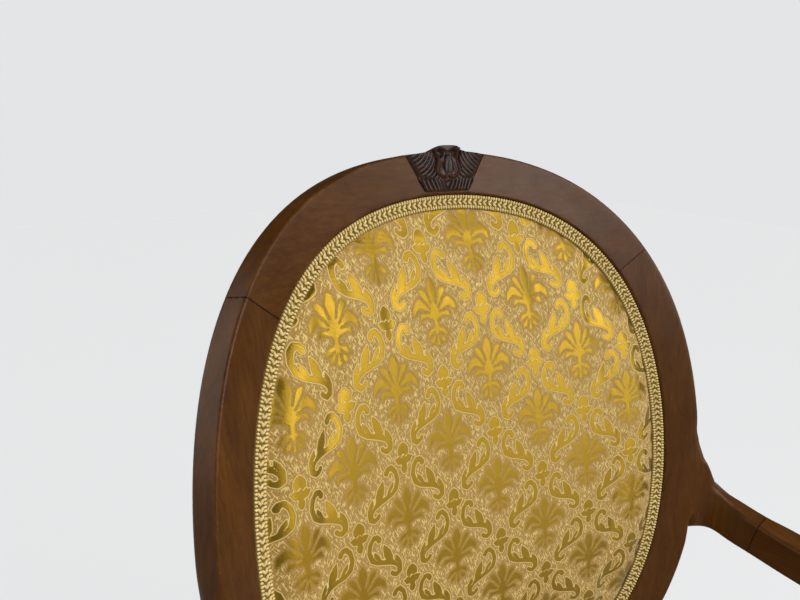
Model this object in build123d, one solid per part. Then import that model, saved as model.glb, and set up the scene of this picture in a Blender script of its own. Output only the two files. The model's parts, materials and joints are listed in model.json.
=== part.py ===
from build123d import *
import os
from math import atan2, cos, degrees, hypot, pi, radians, sin, sqrt

# Oval-backed armchair with a carved crest, open arms and a sprung, upholstered seat.
# Millimetres, +Z up, floor at Z 0. The front of the chair faces -Y.
# Left and right are as seen from the front, so right is +X.

# Oval back: its outline is measured along the curve of the back
oval_half_width = 250.0
oval_half_height = 272.0
oval_fullness = 0.041
back_curve_radius = 523.0
back_recline = 10.0
oval_centre_y = 236.0
oval_centre_height = 745.0

# Wooden surround of the oval
surround_width = 35.0
surround_thickness = 24.0
ledge_width = 14.0
front_ledge_depth = 10.0
rear_ledge_depth = 4.0
front_arris = 2.0
rear_round = 6.0
crest_seam_angle = 38.6
lower_seam_angle = -70.0
leg_joint_angle = -51.0
ring_dowel_radius = 4.0
ring_dowel_length = 36.0

# Carved flower let into the crest rail
carving_top_half_width = 40.0
carving_bottom_half_width = 22.0
carving_depth = 5.0
carving_relief = 3.0
bud_radius = 13.0
leaf_radius = 8.0

# Legs
front_leg_x = 258.0
front_leg_y = -266.0
front_leg_size = 42.0
front_ankle_size = 24.0
front_foot_size = 30.0
front_leg_sweep = 5.0
rear_leg_x = 188.0
rear_leg_y = 160.0
rear_leg_width = 36.0
rear_leg_depth = 34.0
rear_leg_top_width = 40.0
rear_leg_top_depth = 19.0
rear_foot_size = 26.0
rear_foot_splay = 74.0
rear_foot_spread = 12.0
leg_rounding = 4.0
glide_radius = 8.0
glide_height = 3.0

# Seat frame
rail_top = 398.0
rail_height = 58.0
rail_thickness = 26.0
show_wood_height = 38.0
rebate_depth = 5.0
leg_reveal = 2.0
front_bow = 22.0
seat_corner_radius = 14.0
corner_block_leg = 58.0
corner_block_height = 22.0
corner_block_lift = 4.0
rail_dowel_radius = 5.0
rail_dowel_length = 40.0
rail_dowel_in_leg = 14.0
rail_dowel_inset = 18.0
screw_radius = 2.0
screw_head_radius = 4.0
screw_length = 34.0

# Arms and their posts
arm_root_angle = -14.0
arm_joint_height = 33.5
arm_joint_width = 26.0
arm_spread = 48.6
arm_drop = 48.5
arm_reach = 390.0
arm_front_width = 41.0
arm_front_height = 28.0
arm_rounding = 4.0
flare_web_top = 10.0
flare_web_reach = 14.0
flare_web_drop = 54.0
flare_web_stand = 0.1
arm_dowel_radius = 5.0
arm_dowel_length = 40.0
post_y = -150.0
post_foot_width = 40.0
post_foot_depth = 24.0
post_waist_width = 27.0
post_head_width = 32.0
post_setback = 48.0

# Seat upholstery
cover_thickness = 2.0
gimp_width = 12.0
gimp_thickness = 2.2
seat_crown = 58.0
seat_crown_run = 170.0
wadding_thickness = 4.5
edge_roll_width = 36.0
edge_roll_height = 16.0
hessian_thickness = 1.2
spring_wire_radius = 1.9
spring_end_radius = 40.0
spring_waist_radius = 26.0
spring_turns = 4
spring_rise = 8.0
spring_pitch_x = 105.0
spring_pitch_y = 100.0
spring_middle_y = -56.0
twine_radius = 1.0
twine_drop = 9.0
seat_web_width = 50.0
web_thickness = 2.0
seat_web_pitch_x = 80.0
seat_web_pitch_y = 80.0
dust_cover_thickness = 1.0
dust_cover_inset = 9.0
tack_head_radius = 4.5
tack_head_height = 1.0
tack_shank_radius = 1.0
tack_length = 18.0
post_notch_gap = 13.0

# Back upholstery
back_crown = 24.0
back_web_width = 50.0
back_web_thickness = 1.6
back_web_pitch = 105.0
back_cover_thickness = 1.8
outside_cover_thickness = 1.6
gimp_joint_gap = 0.6

# Clearances
soft_gap = 0.3
fit_gap = 0.2
bend_gap = 0.9

# Heights and lines that several pieces share
rail_bottom = rail_top - rail_height
show_line = rail_bottom + show_wood_height
recline = radians(back_recline)
outline_front_x = front_leg_x + front_leg_size / 2 - leg_reveal
outline_front_y = front_leg_y - front_leg_size / 2 + leg_reveal
outline_rear_x = rear_leg_x + rear_leg_width / 2 - leg_reveal
outline_rear_y = rear_leg_y + rear_leg_depth / 2 - leg_reveal
front_leg_inner_x = front_leg_x - front_leg_size / 2
front_leg_rear_y = front_leg_y + front_leg_size / 2
rear_leg_inner_x = rear_leg_x - rear_leg_width / 2
rear_leg_front_y = rear_leg_y - rear_leg_depth / 2
side_slope = (outline_front_x - outline_rear_x) / (outline_rear_y - outline_front_y)
side_turn = atan2(outline_front_x - outline_rear_x, outline_rear_y - outline_front_y)
bow_radius = (outline_front_x**2 + front_bow**2) / (2 * front_bow)
bow_centre_y = outline_front_y - front_bow + bow_radius
up_the_back = (0, sin(recline), cos(recline))
back_plane = Plane((0, oval_centre_y, oval_centre_height), x_dir=(1, 0, 0), z_dir=up_the_back)

parts = {}


def polygon(points):
    return make_face(Polyline(*points, close=True))


def column(face, bottom, top):
    """Stands a flat plan shape up between two heights."""
    return extrude(Pos(0, 0, bottom) * face, top - bottom, dir=(0, 0, 1))


def rod(centre, direction, radius, length):
    return Plane(centre, z_dir=direction) * Cylinder(radius, length)


def mirrored(shape):
    return mirror(shape, about=Plane.YZ)


def both_sides(shapes):
    return list(shapes) + [mirrored(shape) for shape in shapes]


def wood_screw(head_centre, direction):
    """Countersunk screw whose head lies flush at head_centre and whose shank runs along direction."""
    seat = Plane(head_centre, z_dir=direction)
    onward = (Align.CENTER, Align.CENTER, Align.MIN)
    head = seat * Cone(screw_head_radius, screw_radius, screw_head_radius, align=onward)
    shank = seat * Cylinder(screw_radius, screw_length, align=onward)
    return head + shank


def smooth_stations(stations, count):
    """Evenly spaced stations on a smooth line through the given ones."""
    rows = [[*centre, *sideways, width, height] for centre, sideways, width, height in stations]
    marks = [0.0]
    for before, after in zip(rows, rows[1:]):
        marks.append(marks[-1] + sqrt(sum((after[axis] - before[axis]) ** 2 for axis in range(3))))
    last = len(rows) - 1

    def slope(index, item):
        low = max(index - 1, 0)
        high = min(index + 1, last)
        return (rows[high][item] - rows[low][item]) / (marks[high] - marks[low])

    spread = []
    for step in range(count):
        mark = marks[-1] * step / (count - 1)
        index = max(place for place in range(last) if marks[place] <= mark)
        length = marks[index + 1] - marks[index]
        share = (mark - marks[index]) / length
        rise = share * share * (3 - 2 * share)
        leave = share * (1 - share) ** 2 * length
        arrive = share * share * (share - 1) * length
        row = []
        for item in range(len(rows[0])):
            level = rows[index][item] * (1 - rise) + rows[index + 1][item] * rise
            row.append(level + leave * slope(index, item) + arrive * slope(index + 1, item))
        spread.append((Vector(*row[0:3]), Vector(*row[3:6]), row[6], row[7]))
    return spread


def bar(stations, rounding, count):
    """Shaped bar through stations of centre, sideways direction, width and height."""
    spread = smooth_stations(stations, count)
    sections = []
    for index, (centre, sideways, width, height) in enumerate(spread):
        ahead = spread[min(index + 1, count - 1)][0] - spread[max(index - 1, 0)][0]
        ahead = ahead.normalized()
        across = sideways - ahead * sideways.dot(ahead)
        section = RectangleRounded(width, height, rounding)
        sections.append((Plane(centre, x_dir=across, z_dir=ahead) * section).wire())
    return Solid.make_loft(sections)


# Oval back


def oval(angle, inset=0.0):
    """Point of the oval outline, moved inwards by inset, as distances along and up the back."""
    swell = 1 + oval_fullness * sin(2 * angle) ** 2
    swell_rate = 2 * oval_fullness * sin(4 * angle)
    along_rate = oval_half_width * (cos(angle) * swell_rate - sin(angle) * swell)
    up_rate = oval_half_height * (sin(angle) * swell_rate + cos(angle) * swell)
    rate = hypot(along_rate, up_rate)
    along = oval_half_width * cos(angle) * swell - inset * up_rate / rate
    upward = oval_half_height * sin(angle) * swell + inset * along_rate / rate
    return along, upward


def on_back(along, upward, depth=0.0):
    """Point in space for a place on the curved back, depth behind its front face."""
    turn = along / back_curve_radius
    radius = back_curve_radius + depth
    place = Vector(radius * sin(turn), radius * cos(turn) - back_curve_radius, upward)
    return back_plane.from_local_coords(place)


def ring_plane(angle):
    """Section plane of the surround: x runs inwards, y runs back, origin on the outer front edge."""
    step = 0.01
    outer = on_back(*oval(angle))
    inwards = on_back(*oval(angle, surround_width)) - outer
    tangent = (on_back(*oval(angle + step)) - on_back(*oval(angle - step))).normalized()
    inwards = inwards - tangent * inwards.dot(tangent)
    return Plane(outer, x_dir=inwards, z_dir=tangent * -1)


def ring_bar(profile, start, end, count):
    angles = [radians(start + (end - start) * index / (count - 1)) for index in range(count)]
    return Solid.make_loft([(ring_plane(angle) * profile).wire() for angle in angles])


def surround_profile():
    ledge_end = surround_width + ledge_width
    rear_ledge = surround_thickness - rear_ledge_depth
    corners = [
        (0, 0),
        (surround_width, 0),
        (surround_width, front_ledge_depth),
        (ledge_end, front_ledge_depth),
        (ledge_end, rear_ledge),
        (surround_width, rear_ledge),
        (surround_width, surround_thickness),
        (0, surround_thickness),
    ]
    radii = [front_arris, front_arris, 0, 0, 0, 0, 0, rear_round]
    return make_face(FilletPolyline(*corners, radius=radii, close=True))


def arm_station(sideways, forward, rise, width, height, heading):
    """Station of the right arm, measured from the middle of the flare on the oval's edge."""
    root = on_back(*oval(radians(arm_root_angle)), surround_thickness / 2)
    centre = root + Vector(sideways, -forward, rise)
    turn = radians(heading)
    return (centre.X, centre.Y, centre.Z), (sin(turn), cos(turn), 0), width, height


def flare_stations():
    """From inside the oval's edge out and forward to the glued joint with the arm."""
    joint = arm_joint_height
    return [
        arm_station(-9, -4, -5.5, surround_thickness - 0.6, joint + 56.5, 27),
        arm_station(8.6, -1.8, -13, surround_thickness - 0.4, joint + 30.5, 33),
        arm_station(22, 15, -20, surround_thickness, joint + 5.5, 47),
        arm_station(33.6, 31.6, -30, arm_joint_width - 1, joint + 1.5, 62),
        arm_station(39.2, 52.5, -36, arm_joint_width, joint, 77),
    ]


def flare_web():
    """Web that carries the oval's edge down into the top of the flare in a hollow curve."""
    spot = on_back(oval_half_width, 0, -flare_web_stand)
    along = on_back(oval_half_width + 1, 0) - on_back(oval_half_width - 1, 0)
    inward = on_back(oval_half_width, 0, 1) - on_back(oval_half_width, 0)
    hollow = Spline(
        (-0.4, -flare_web_top),
        (flare_web_reach * 0.1, flare_web_drop * 0.31),
        (flare_web_reach * 0.46, flare_web_drop * 0.67),
        (flare_web_reach, flare_web_drop),
    )
    low = flare_web_drop + 24
    inside = Polyline(hollow @ 1, (flare_web_reach - 2, low), (-10, low), (-10, -flare_web_top), hollow @ 0)
    plate = extrude(make_face([hollow, inside]), surround_thickness * 2 / 3)
    return Plane(spot, x_dir=along, z_dir=inward) * plate


def arm_stations():
    """From the glued joint forward to the rolled-over end of the arm."""
    width = arm_front_width
    height = arm_front_height
    return [
        arm_station(arm_spread - 5, 76, 8 - arm_drop, arm_joint_width + 3, arm_joint_height, 84),
        arm_station(arm_spread - 3, 110, 4 - arm_drop, arm_joint_width + 5, arm_joint_height - 1, 87),
        arm_station(arm_spread, arm_reach - 190, -arm_drop, width - 5, height + 3, 90),
        arm_station(arm_spread, arm_reach - 110, -arm_drop, width - 2, height + 1, 90),
        arm_station(arm_spread, arm_reach - 56, 3 - arm_drop, width, height, 90),
        arm_station(arm_spread, arm_reach - 22, -arm_drop, width, height - 1, 90),
        arm_station(arm_spread, arm_reach - 5, -12 - arm_drop, width - 1, height - 2, 90),
        arm_station(arm_spread, arm_reach, -32 - arm_drop, width - 4, height - 6, 90),
    ]


def joint_dowels(angle):
    """Two dowels side by side across one seam of the surround."""
    plane = ring_plane(radians(angle))
    places = [(surround_width * share, surround_thickness / 2) for share in (0.3, 0.75)]
    centres = [plane.from_local_coords(Vector(*place, 0)) for place in places]
    return [rod(centre, plane.z_dir, ring_dowel_radius, ring_dowel_length) for centre in centres]


profile = surround_profile()
crest_rail = ring_bar(profile, crest_seam_angle, 180 - crest_seam_angle, 13)
flare_and_arm = bar(flare_stations() + arm_stations(), arm_rounding, 26)
arm_joint = Vector(*flare_stations()[-1][0])
arm_heading = Vector(*arm_stations()[0][0]) - Vector(*flare_stations()[-2][0])
ahead_of_joint = Plane(arm_joint, z_dir=arm_heading) * Box(
    arm_reach, arm_reach, 2 * arm_reach, align=(Align.CENTER, Align.CENTER, Align.MIN)
)
right_stile = ring_bar(profile, lower_seam_angle, crest_seam_angle, 13) + (flare_and_arm - ahead_of_joint)
right_stile = right_stile + flare_web()
lower_back_rail = ring_bar(profile, 180 - lower_seam_angle, 360 + lower_seam_angle, 6)
right_arm = flare_and_arm & ahead_of_joint

seam_angles = [crest_seam_angle, 180 - crest_seam_angle, lower_seam_angle, 180 - lower_seam_angle]
ring_dowels = [pin for angle in seam_angles for pin in joint_dowels(angle)]
arm_pin = rod(arm_joint, arm_heading, arm_dowel_radius, arm_dowel_length)


def keystone(grow, front, rear, rise):
    """Wedge-shaped block across the crest rail between two depths, its top lifted by rise."""
    half_top = carving_top_half_width + grow
    half_bottom = carving_bottom_half_width + grow
    shoulder = oval_half_height * sqrt(1 - (carving_top_half_width / oval_half_width) ** 2)
    bottom = oval_half_height - surround_width + 1.5 * front_arris - grow
    flare = (half_top - half_bottom) / (shoulder - bottom) * rise
    middle = (0, 0, oval_half_height + rise)
    right_edge = [middle, (half_top + flare, 0, shoulder + rise), (half_bottom, 0, bottom)]
    left_edge = [(-x, y, z) for x, y, z in reversed(right_edge[1:])]
    block = extrude(polygon(right_edge + left_edge), rear - front, dir=(0, 1, 0))
    return back_plane * Pos(0, front, 0) * block


def crest_carving():
    """Keystone block with a round bud in the middle and leaf lobes spreading to both sides."""
    field = keystone(0, -carving_relief, carving_depth, 0)
    middle = oval_half_height - surround_width * 0.42
    lobes = [Pos(0, 0, oval_half_height - surround_width * 0.23) * Sphere(bud_radius)]
    for side in (-1, 1):
        for index in range(3):
            reach = side * (bud_radius + leaf_radius * 0.9 * index)
            lift = surround_width * 0.16 + 1.5 * index
            lobes.append(Pos(reach, 0, middle + lift) * Sphere(leaf_radius - index))
    raised = lobes[0].fuse(*lobes[1:])
    front_half = Pos(0, -carving_relief, oval_half_height) * Box(
        400, bud_radius * 2, 400, align=(Align.CENTER, Align.MAX, Align.CENTER)
    )
    return field + back_plane * Pos(0, carving_relief, 0) * (raised & front_half)


parts["crest_carving"] = crest_carving()
crest_rail = crest_rail - keystone(fit_gap, -surround_thickness, carving_depth + fit_gap, 4 * front_arris)


# Legs


def below_glides():
    """Block that cuts a leg off flat at the top of its glide."""
    wide = 4 * front_leg_x
    down = (Align.CENTER, Align.CENTER, Align.MAX)
    return Pos(0, 0, glide_height) * Box(wide, wide, front_leg_size, align=down)


def front_leg():
    """Square head between the rails, then a slender leg that sweeps out to a pad foot."""
    out = front_leg_sweep
    size = front_leg_size
    levels = [
        (rail_bottom + leg_reveal, 0, size - leg_reveal),
        (rail_bottom - 45, out * 0.4, size - 1),
        (rail_bottom * 0.6, 0, (size + front_ankle_size) / 2),
        (rail_bottom * 0.32, -out * 0.8, front_ankle_size + 2),
        (rail_bottom * 0.13, -out * 0.8, front_ankle_size),
        (-glide_height, 0, front_foot_size),
    ]
    sideways = (1, 0, 0)
    stations = [
        ((front_leg_x + shift, front_leg_y - shift, level), sideways, width, width)
        for level, shift, width in levels
    ]
    head = Pos(front_leg_x, front_leg_y) * RectangleRounded(size, size, leg_rounding)
    upper = column(head, show_line, rail_top) & column(seat_face(rebate_depth), show_line, rail_top)
    return bar(stations, leg_rounding, 12) - below_glides() + column(head, rail_bottom, show_line) + upper


def rear_leg_stations():
    joint = on_back(*oval(radians(leg_joint_angle), surround_width / 2), surround_thickness / 2)
    inner = on_back(*oval(radians(leg_joint_angle), surround_width * 0.8), surround_thickness / 2)
    turn = oval(radians(leg_joint_angle))[0] / back_curve_radius
    width = rear_leg_width
    depth = rear_leg_depth
    foot = rear_foot_size
    straight = (1, 0, 0)
    twisted = (cos(turn), -sin(turn), 0)
    half_twisted = (cos(turn / 2), -sin(turn / 2), 0)
    above = Vector(rear_leg_x, rear_leg_y, rail_top) * 0.45 + joint * 0.55

    def raked(spread, splay, height):
        return rear_leg_x + rear_foot_spread * spread, rear_leg_y + rear_foot_splay * splay, height

    return [
        (raked(1, 1, -glide_height), straight, foot, foot),
        (raked(0.8, 0.55, 110), straight, foot + 4, foot + 4),
        (raked(0.4, 0.18, 230), straight, foot + 7, foot + 7),
        ((rear_leg_x, rear_leg_y, rail_bottom), straight, width - leg_reveal, depth - leg_reveal),
        ((rear_leg_x, rear_leg_y, rail_top), straight, width - leg_reveal, depth - leg_reveal),
        ((above.X, above.Y, above.Z), half_twisted, width - 1, depth - 5),
        ((joint.X, joint.Y, joint.Z), twisted, rear_leg_top_width, rear_leg_top_depth),
        ((inner.X, inner.Y, inner.Z), twisted, rear_leg_top_width, rear_leg_top_depth - 2),
    ]


def rear_leg():
    """Raked leg that runs up past the seat to the oval, with a square stretch between the rails."""
    plan = Pos(rear_leg_x, rear_leg_y) * RectangleRounded(rear_leg_width, rear_leg_depth, leg_rounding)
    seat_zone = Pos(rear_leg_x, rear_leg_y, rail_bottom) * Box(
        4 * rear_leg_width, 4 * rear_leg_depth, rail_height, align=(Align.CENTER, Align.CENTER, Align.MIN)
    )
    shaped = bar(rear_leg_stations(), leg_rounding, 20) - seat_zone - below_glides()
    return shaped + column(plan, rail_bottom, rail_top) - right_stile


def side_x(y, inset=0.0):
    """Outer line of the right seat rail, moved inwards by inset."""
    return outline_front_x - side_slope * (y - outline_front_y) - inset / cos(side_turn)


def bow_y(x, inset=0.0):
    """Outer line of the bowed front rail, moved inwards by inset."""
    return bow_centre_y - sqrt((bow_radius - inset) ** 2 - x**2)


def seat_corner(inset):
    """Front corner of the seat outline after it is moved inwards by inset."""
    y = outline_front_y + inset
    for _ in range(8):
        y = bow_y(side_x(y, inset), inset)
    return side_x(y, inset), y


def seat_face(inset):
    """Plan of the seat: bowed front, straight slanting sides, straight rear, rounded corners."""
    front_x, front_y = seat_corner(inset)
    rear_y = outline_rear_y - inset
    rear_x = side_x(rear_y, inset)
    front = ThreePointArc((-front_x, front_y), (0, bow_y(0, inset)), (front_x, front_y))
    rest = Polyline((front_x, front_y), (rear_x, rear_y), (-rear_x, rear_y), (-front_x, front_y))
    face = make_face([front, rest])
    return fillet(face.vertices(), seat_corner_radius + 0.15 * inset)


right_front_leg = front_leg()
right_rear_leg = rear_leg()
rear_leg_joint = Vector(*rear_leg_stations()[-2][0])
rear_leg_pitch = rear_leg_joint - Vector(*rear_leg_stations()[-3][0])
rear_leg_pin_centre = rear_leg_joint - rear_leg_pitch.normalized() * (surround_width / 2 + 2)
rear_leg_pin = rod(rear_leg_pin_centre, rear_leg_pitch, arm_dowel_radius, arm_dowel_length)
parts["foot_glides"] = Compound(
    both_sides(
        [
            Pos(x, y, glide_height / 2) * Cylinder(glide_radius, glide_height)
            for x, y in [
                (front_leg_x, front_leg_y),
                (rear_leg_x + rear_foot_spread, rear_leg_y + rear_foot_splay),
            ]
        ]
    )
)


# Seat rails: full thickness below the show line, rebated above it for the tacked cover


def stepped_rail(outline):
    return column(outline(0), rail_bottom, show_line) + column(outline(rebate_depth), show_line, rail_top)


def side_outline(inset):
    front = front_leg_rear_y
    rear = rear_leg_front_y
    return polygon(
        [
            (side_x(front, inset), front),
            (side_x(rear, inset), rear),
            (side_x(rear, rail_thickness), rear),
            (side_x(front, rail_thickness), front),
        ]
    )


front_rail_inner_y = bow_y(front_leg_inner_x) + rail_thickness
rear_rail_inner_y = outline_rear_y - rail_thickness


def front_outline(inset):
    end = front_leg_inner_x
    bow = ThreePointArc((-end, bow_y(end, inset)), (0, bow_y(0, inset)), (end, bow_y(end, inset)))
    rest = Polyline(
        (end, bow_y(end, inset)),
        (end, front_rail_inner_y),
        (-end, front_rail_inner_y),
        (-end, bow_y(end, inset)),
    )
    return make_face([bow, rest])


def rear_outline(inset):
    end = rear_leg_inner_x
    outer = outline_rear_y - inset
    return polygon([(-end, rear_rail_inner_y), (end, rear_rail_inner_y), (end, outer), (-end, outer)])


right_side_rail = stepped_rail(side_outline)
front_rail = stepped_rail(front_outline)
rear_rail = stepped_rail(rear_outline)


# Dowels of the rails, two to each end


def rail_dowels():
    heights = [rail_bottom + rail_dowel_inset, rail_top - rail_dowel_inset]
    shift = rail_dowel_length / 2 - rail_dowel_in_leg
    along_side = Vector(-sin(side_turn), cos(side_turn), 0)
    pins = []
    for height in heights:
        middle = rail_thickness / 2 + rebate_depth / 2
        front_end = Vector(side_x(front_leg_rear_y, middle), front_leg_rear_y, height)
        rear_end = Vector(side_x(rear_leg_front_y, middle), rear_leg_front_y, height)
        pins.append(rod(front_end + along_side * shift, along_side, rail_dowel_radius, rail_dowel_length))
        pins.append(rod(rear_end - along_side * shift, along_side, rail_dowel_radius, rail_dowel_length))
        bow_middle = front_rail_inner_y - rail_thickness / 2 + rebate_depth / 2
        rear_middle = rear_rail_inner_y + rail_thickness / 2 - rebate_depth / 2
        bow_end = Vector(front_leg_inner_x - shift, bow_middle, height)
        back_end = Vector(rear_leg_inner_x - shift, rear_middle, height)
        pins.append(rod(bow_end, (1, 0, 0), rail_dowel_radius, rail_dowel_length))
        pins.append(rod(back_end, (1, 0, 0), rail_dowel_radius, rail_dowel_length))
    return both_sides(pins)


rail_pins = rail_dowels()


# Corner blocks glued and screwed inside the seat frame

block_bottom = rail_bottom + corner_block_lift
block_top = block_bottom + corner_block_height
block_middle = (block_bottom + block_top) / 2


def corner_block(leg_x, leg_y, rail_y, away):
    """Block round a leg's inner corner: away is the way from this corner to the middle of the seat."""
    reach_x = leg_x - corner_block_leg
    reach_y = leg_y + away * corner_block_leg
    inner_y = rail_y
    return column(
        polygon(
            [
                (reach_x, inner_y),
                (leg_x, inner_y),
                (leg_x, leg_y),
                (side_x(leg_y, rail_thickness), leg_y),
                (side_x(reach_y, rail_thickness), reach_y),
            ]
        ),
        block_bottom,
        block_top,
    )


def block_screws(leg_x, leg_y, rail_y, away):
    """One screw into each of the two rails that the block joins, square to the rail."""
    half = corner_block_leg * 0.64
    toward_side = Vector(cos(side_turn), sin(side_turn), 0)
    side_y = leg_y + away * half
    side_head = Vector(side_x(side_y, rail_thickness), side_y, block_middle + 4) - toward_side * 16
    rail_head = Vector(leg_x - half, rail_y + away * 16, block_middle - 4)
    return [wood_screw(side_head, toward_side), wood_screw(rail_head, Vector(0, -away, 0))]


front_corner = (front_leg_inner_x, front_leg_rear_y, front_rail_inner_y, 1)
rear_corner = (rear_leg_inner_x, rear_leg_front_y, rear_rail_inner_y, -1)
right_block_screws = block_screws(*front_corner) + block_screws(*rear_corner)


# Arm posts


def post_stations():
    outward = Vector(cos(side_turn), sin(side_turn), 0)
    along = Vector(sin(side_turn), -cos(side_turn), 0)
    foot = Vector(side_x(post_y), post_y, 0) + outward * (post_foot_depth / 2)
    head = Vector(*arm_station(arm_spread, arm_reach - post_setback, -arm_drop, 1, 1, 90)[0])
    sideways = (outward.X, outward.Y, 0)
    straight = (1, 0, 0)
    depth = post_foot_depth

    def place(share, forward, level):
        spot = foot + (head - foot) * share + along * forward
        return (spot.X, spot.Y, level)

    foot_top = show_line - 6
    rise = head.Z - foot_top
    return [
        (place(0, 0, rail_bottom + leg_reveal), sideways, depth, post_foot_width),
        (place(0, 0, foot_top), sideways, depth, post_foot_width),
        (place(0.16, 2, foot_top + rise * 0.08), sideways, depth, post_foot_width - 2),
        (place(0.3, 9, foot_top + rise * 0.2), sideways, depth - 1, post_foot_width - 8),
        (place(0.6, 17, foot_top + rise * 0.48), sideways, depth, post_waist_width),
        (place(0.9, 10, foot_top + rise * 0.8), straight, depth + 2, post_waist_width + 1),
        (place(1, 0, head.Z), straight, depth + 6, post_head_width),
    ]


def arm_post():
    """Curved post that stands against the side rail and is trimmed under the arm."""
    shaped = bar(post_stations(), leg_rounding, 18)
    return shaped - column(seat_face(0), rail_bottom, rail_top + seat_crown) - right_arm


def post_screws():
    outward = Vector(cos(side_turn), sin(side_turn), 0)
    along = Vector(-sin(side_turn), cos(side_turn), 0)
    head = Vector(side_x(post_y, rail_thickness), post_y, (rail_bottom + show_line) / 2) + outward * 0.5
    return [wood_screw(head + along * shift, outward) for shift in (-8, 8)]


right_arm_post = arm_post()
right_post_screws = post_screws()
post_head = post_stations()[-1][0]
post_pin_centre = (post_head[0], post_head[1], post_head[2] - arm_front_height / 2)
post_pin = rod(post_pin_centre, (0, 0, 1), arm_dowel_radius, arm_dowel_length * 0.9)


def bored(shape, pins):
    """Wooden piece with the holes of the pins that reach into it."""
    room = shape.bounding_box()
    return shape.cut(*[pin for pin in pins if room.overlaps(pin.bounding_box())])


right_stile = bored(right_stile, ring_dowels + [arm_pin, rear_leg_pin])
parts["crest_rail"] = bored(crest_rail, ring_dowels)
parts["lower_back_rail"] = bored(lower_back_rail, ring_dowels)
parts["right_back_stile"] = right_stile
parts["right_arm"] = bored(right_arm, [arm_pin, post_pin])
parts["right_arm_post"] = bored(right_arm_post, [post_pin] + right_post_screws)
parts["right_front_leg"] = bored(right_front_leg, rail_pins)
parts["right_rear_leg"] = bored(right_rear_leg, rail_pins + [rear_leg_pin])
parts["right_seat_rail"] = bored(right_side_rail, rail_pins + right_block_screws + right_post_screws)
parts["right_front_corner_block"] = bored(corner_block(*front_corner), right_block_screws)
parts["right_rear_corner_block"] = bored(corner_block(*rear_corner), right_block_screws)
for name in [name for name in parts if name.startswith("right_")]:
    parts[name.replace("right_", "left_", 1)] = mirrored(parts[name])
all_block_screws = both_sides(right_block_screws)
parts["front_seat_rail"] = bored(front_rail, rail_pins + all_block_screws)
parts["rear_seat_rail"] = bored(rear_rail, rail_pins + all_block_screws)
parts["ring_dowels"] = Compound(ring_dowels)
parts["rear_leg_dowels"] = Compound(both_sides([rear_leg_pin]))
parts["arm_dowels"] = Compound(both_sides([arm_pin, post_pin]))
parts["seat_rail_dowels"] = Compound(rail_pins)
parts["corner_block_screws"] = Compound(all_block_screws)
parts["arm_post_screws"] = Compound(both_sides(right_post_screws))


# Seat upholstery, from the webbing up

web_gap = soft_gap / 2
web_upper = rail_bottom - soft_gap - web_thickness / 2
web_lower = web_upper - web_thickness - 2 * web_gap
web_reach_y = rail_thickness * 0.7
web_columns = [step * seat_web_pitch_x for step in (-1.5, -0.5, 0.5, 1.5)]
web_rows = [spring_middle_y + seat_web_pitch_y * step for step in (-1.9, -0.95, 0, 0.95, 1.9)]


def wavy_band(start, end, crossings, first_up):
    """Side view of a strap that passes over and under the straps that it crosses."""
    half = seat_web_width / 2 + web_thickness
    line = [(start, web_upper)]
    for index, crossing in enumerate(crossings):
        level = web_upper if (index % 2 == 0) == first_up else web_lower
        line.append((crossing - half + web_thickness, level))
        line.append((crossing + half - web_thickness, level))
    line.append((end, web_upper))
    top = [(place, level + web_thickness / 2) for place, level in line]
    bottom = [(place, level - web_thickness / 2) for place, level in reversed(line)]
    return top + bottom


def seat_webbing():
    straps = []
    half = seat_web_width / 2
    for index, x in enumerate(web_columns):
        edge = abs(x) + half
        start = bow_y(edge) + rail_thickness - web_reach_y
        end = rear_rail_inner_y + web_reach_y
        outline = polygon([(x - half, y, z) for y, z in wavy_band(start, end, web_rows, index % 2 == 0)])
        straps.append(extrude(outline, seat_web_width, dir=(1, 0, 0)))
    for index, y in enumerate(web_rows):
        end = side_x(y + half, rail_thickness - web_reach_y)
        outline = polygon([(x, y - half, z) for x, z in wavy_band(-end, end, web_columns, index % 2 == 1)])
        straps.append(extrude(outline, seat_web_width, dir=(0, 1, 0)))
    return straps


parts["seat_webbing"] = Compound(seat_webbing())

spring_bottom = rail_bottom + soft_gap + spring_wire_radius
spring_top = rail_top + spring_rise
spring_places = [
    (column_step * spring_pitch_x, spring_middle_y + row_step * spring_pitch_y)
    for row_step in (-1, 0, 1)
    for column_step in (-1, 0, 1)
]


def biarc(start, start_way, end, end_way):
    """Two arcs, tangent to each other and to the ways at both ends."""
    span = end - start
    ways = start_way + end_way
    lean = 2 * (1 - start_way.dot(end_way))
    across = span.dot(ways)
    reach = (sqrt(across**2 + lean * span.dot(span)) - across) / lean
    leave = start + start_way * reach
    arrive = end - end_way * reach
    middle = (leave + arrive) * 0.5
    first = TangentArc(start, middle, tangent=start_way)
    second = TangentArc(middle, end, tangent=arrive - leave)
    return [first, second]


def coil_spring():
    """Hourglass spring of round wire, wound upwards round the Z axis, in half turns."""
    halves = spring_turns * 2

    def point(half_turn):
        share = half_turn / halves
        pull = 1 - (2 * share - 1) ** 2
        radius = spring_end_radius - (spring_end_radius - spring_waist_radius) * pull
        height = spring_bottom + (spring_top - spring_bottom) * share
        return Vector(radius * cos(pi * half_turn), radius * sin(pi * half_turn), height)

    def way(half_turn):
        return (point(half_turn + 0.01) - point(half_turn - 0.01)).normalized()

    arcs = []
    for half_turn in range(halves):
        arcs += biarc(point(half_turn), way(half_turn), point(half_turn + 1), way(half_turn + 1))
    section = Plane(point(0), z_dir=way(0)) * Circle(spring_wire_radius)
    return sweep(section, path=Wire(arcs))


spring = coil_spring()
parts["seat_springs"] = Compound([Pos(x, y, 0) * spring for x, y in spring_places])

twine_low = spring_top + spring_wire_radius + soft_gap + twine_radius
twine_high = twine_low + 2 * twine_radius + soft_gap
twine_end = rail_top - twine_drop


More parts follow.
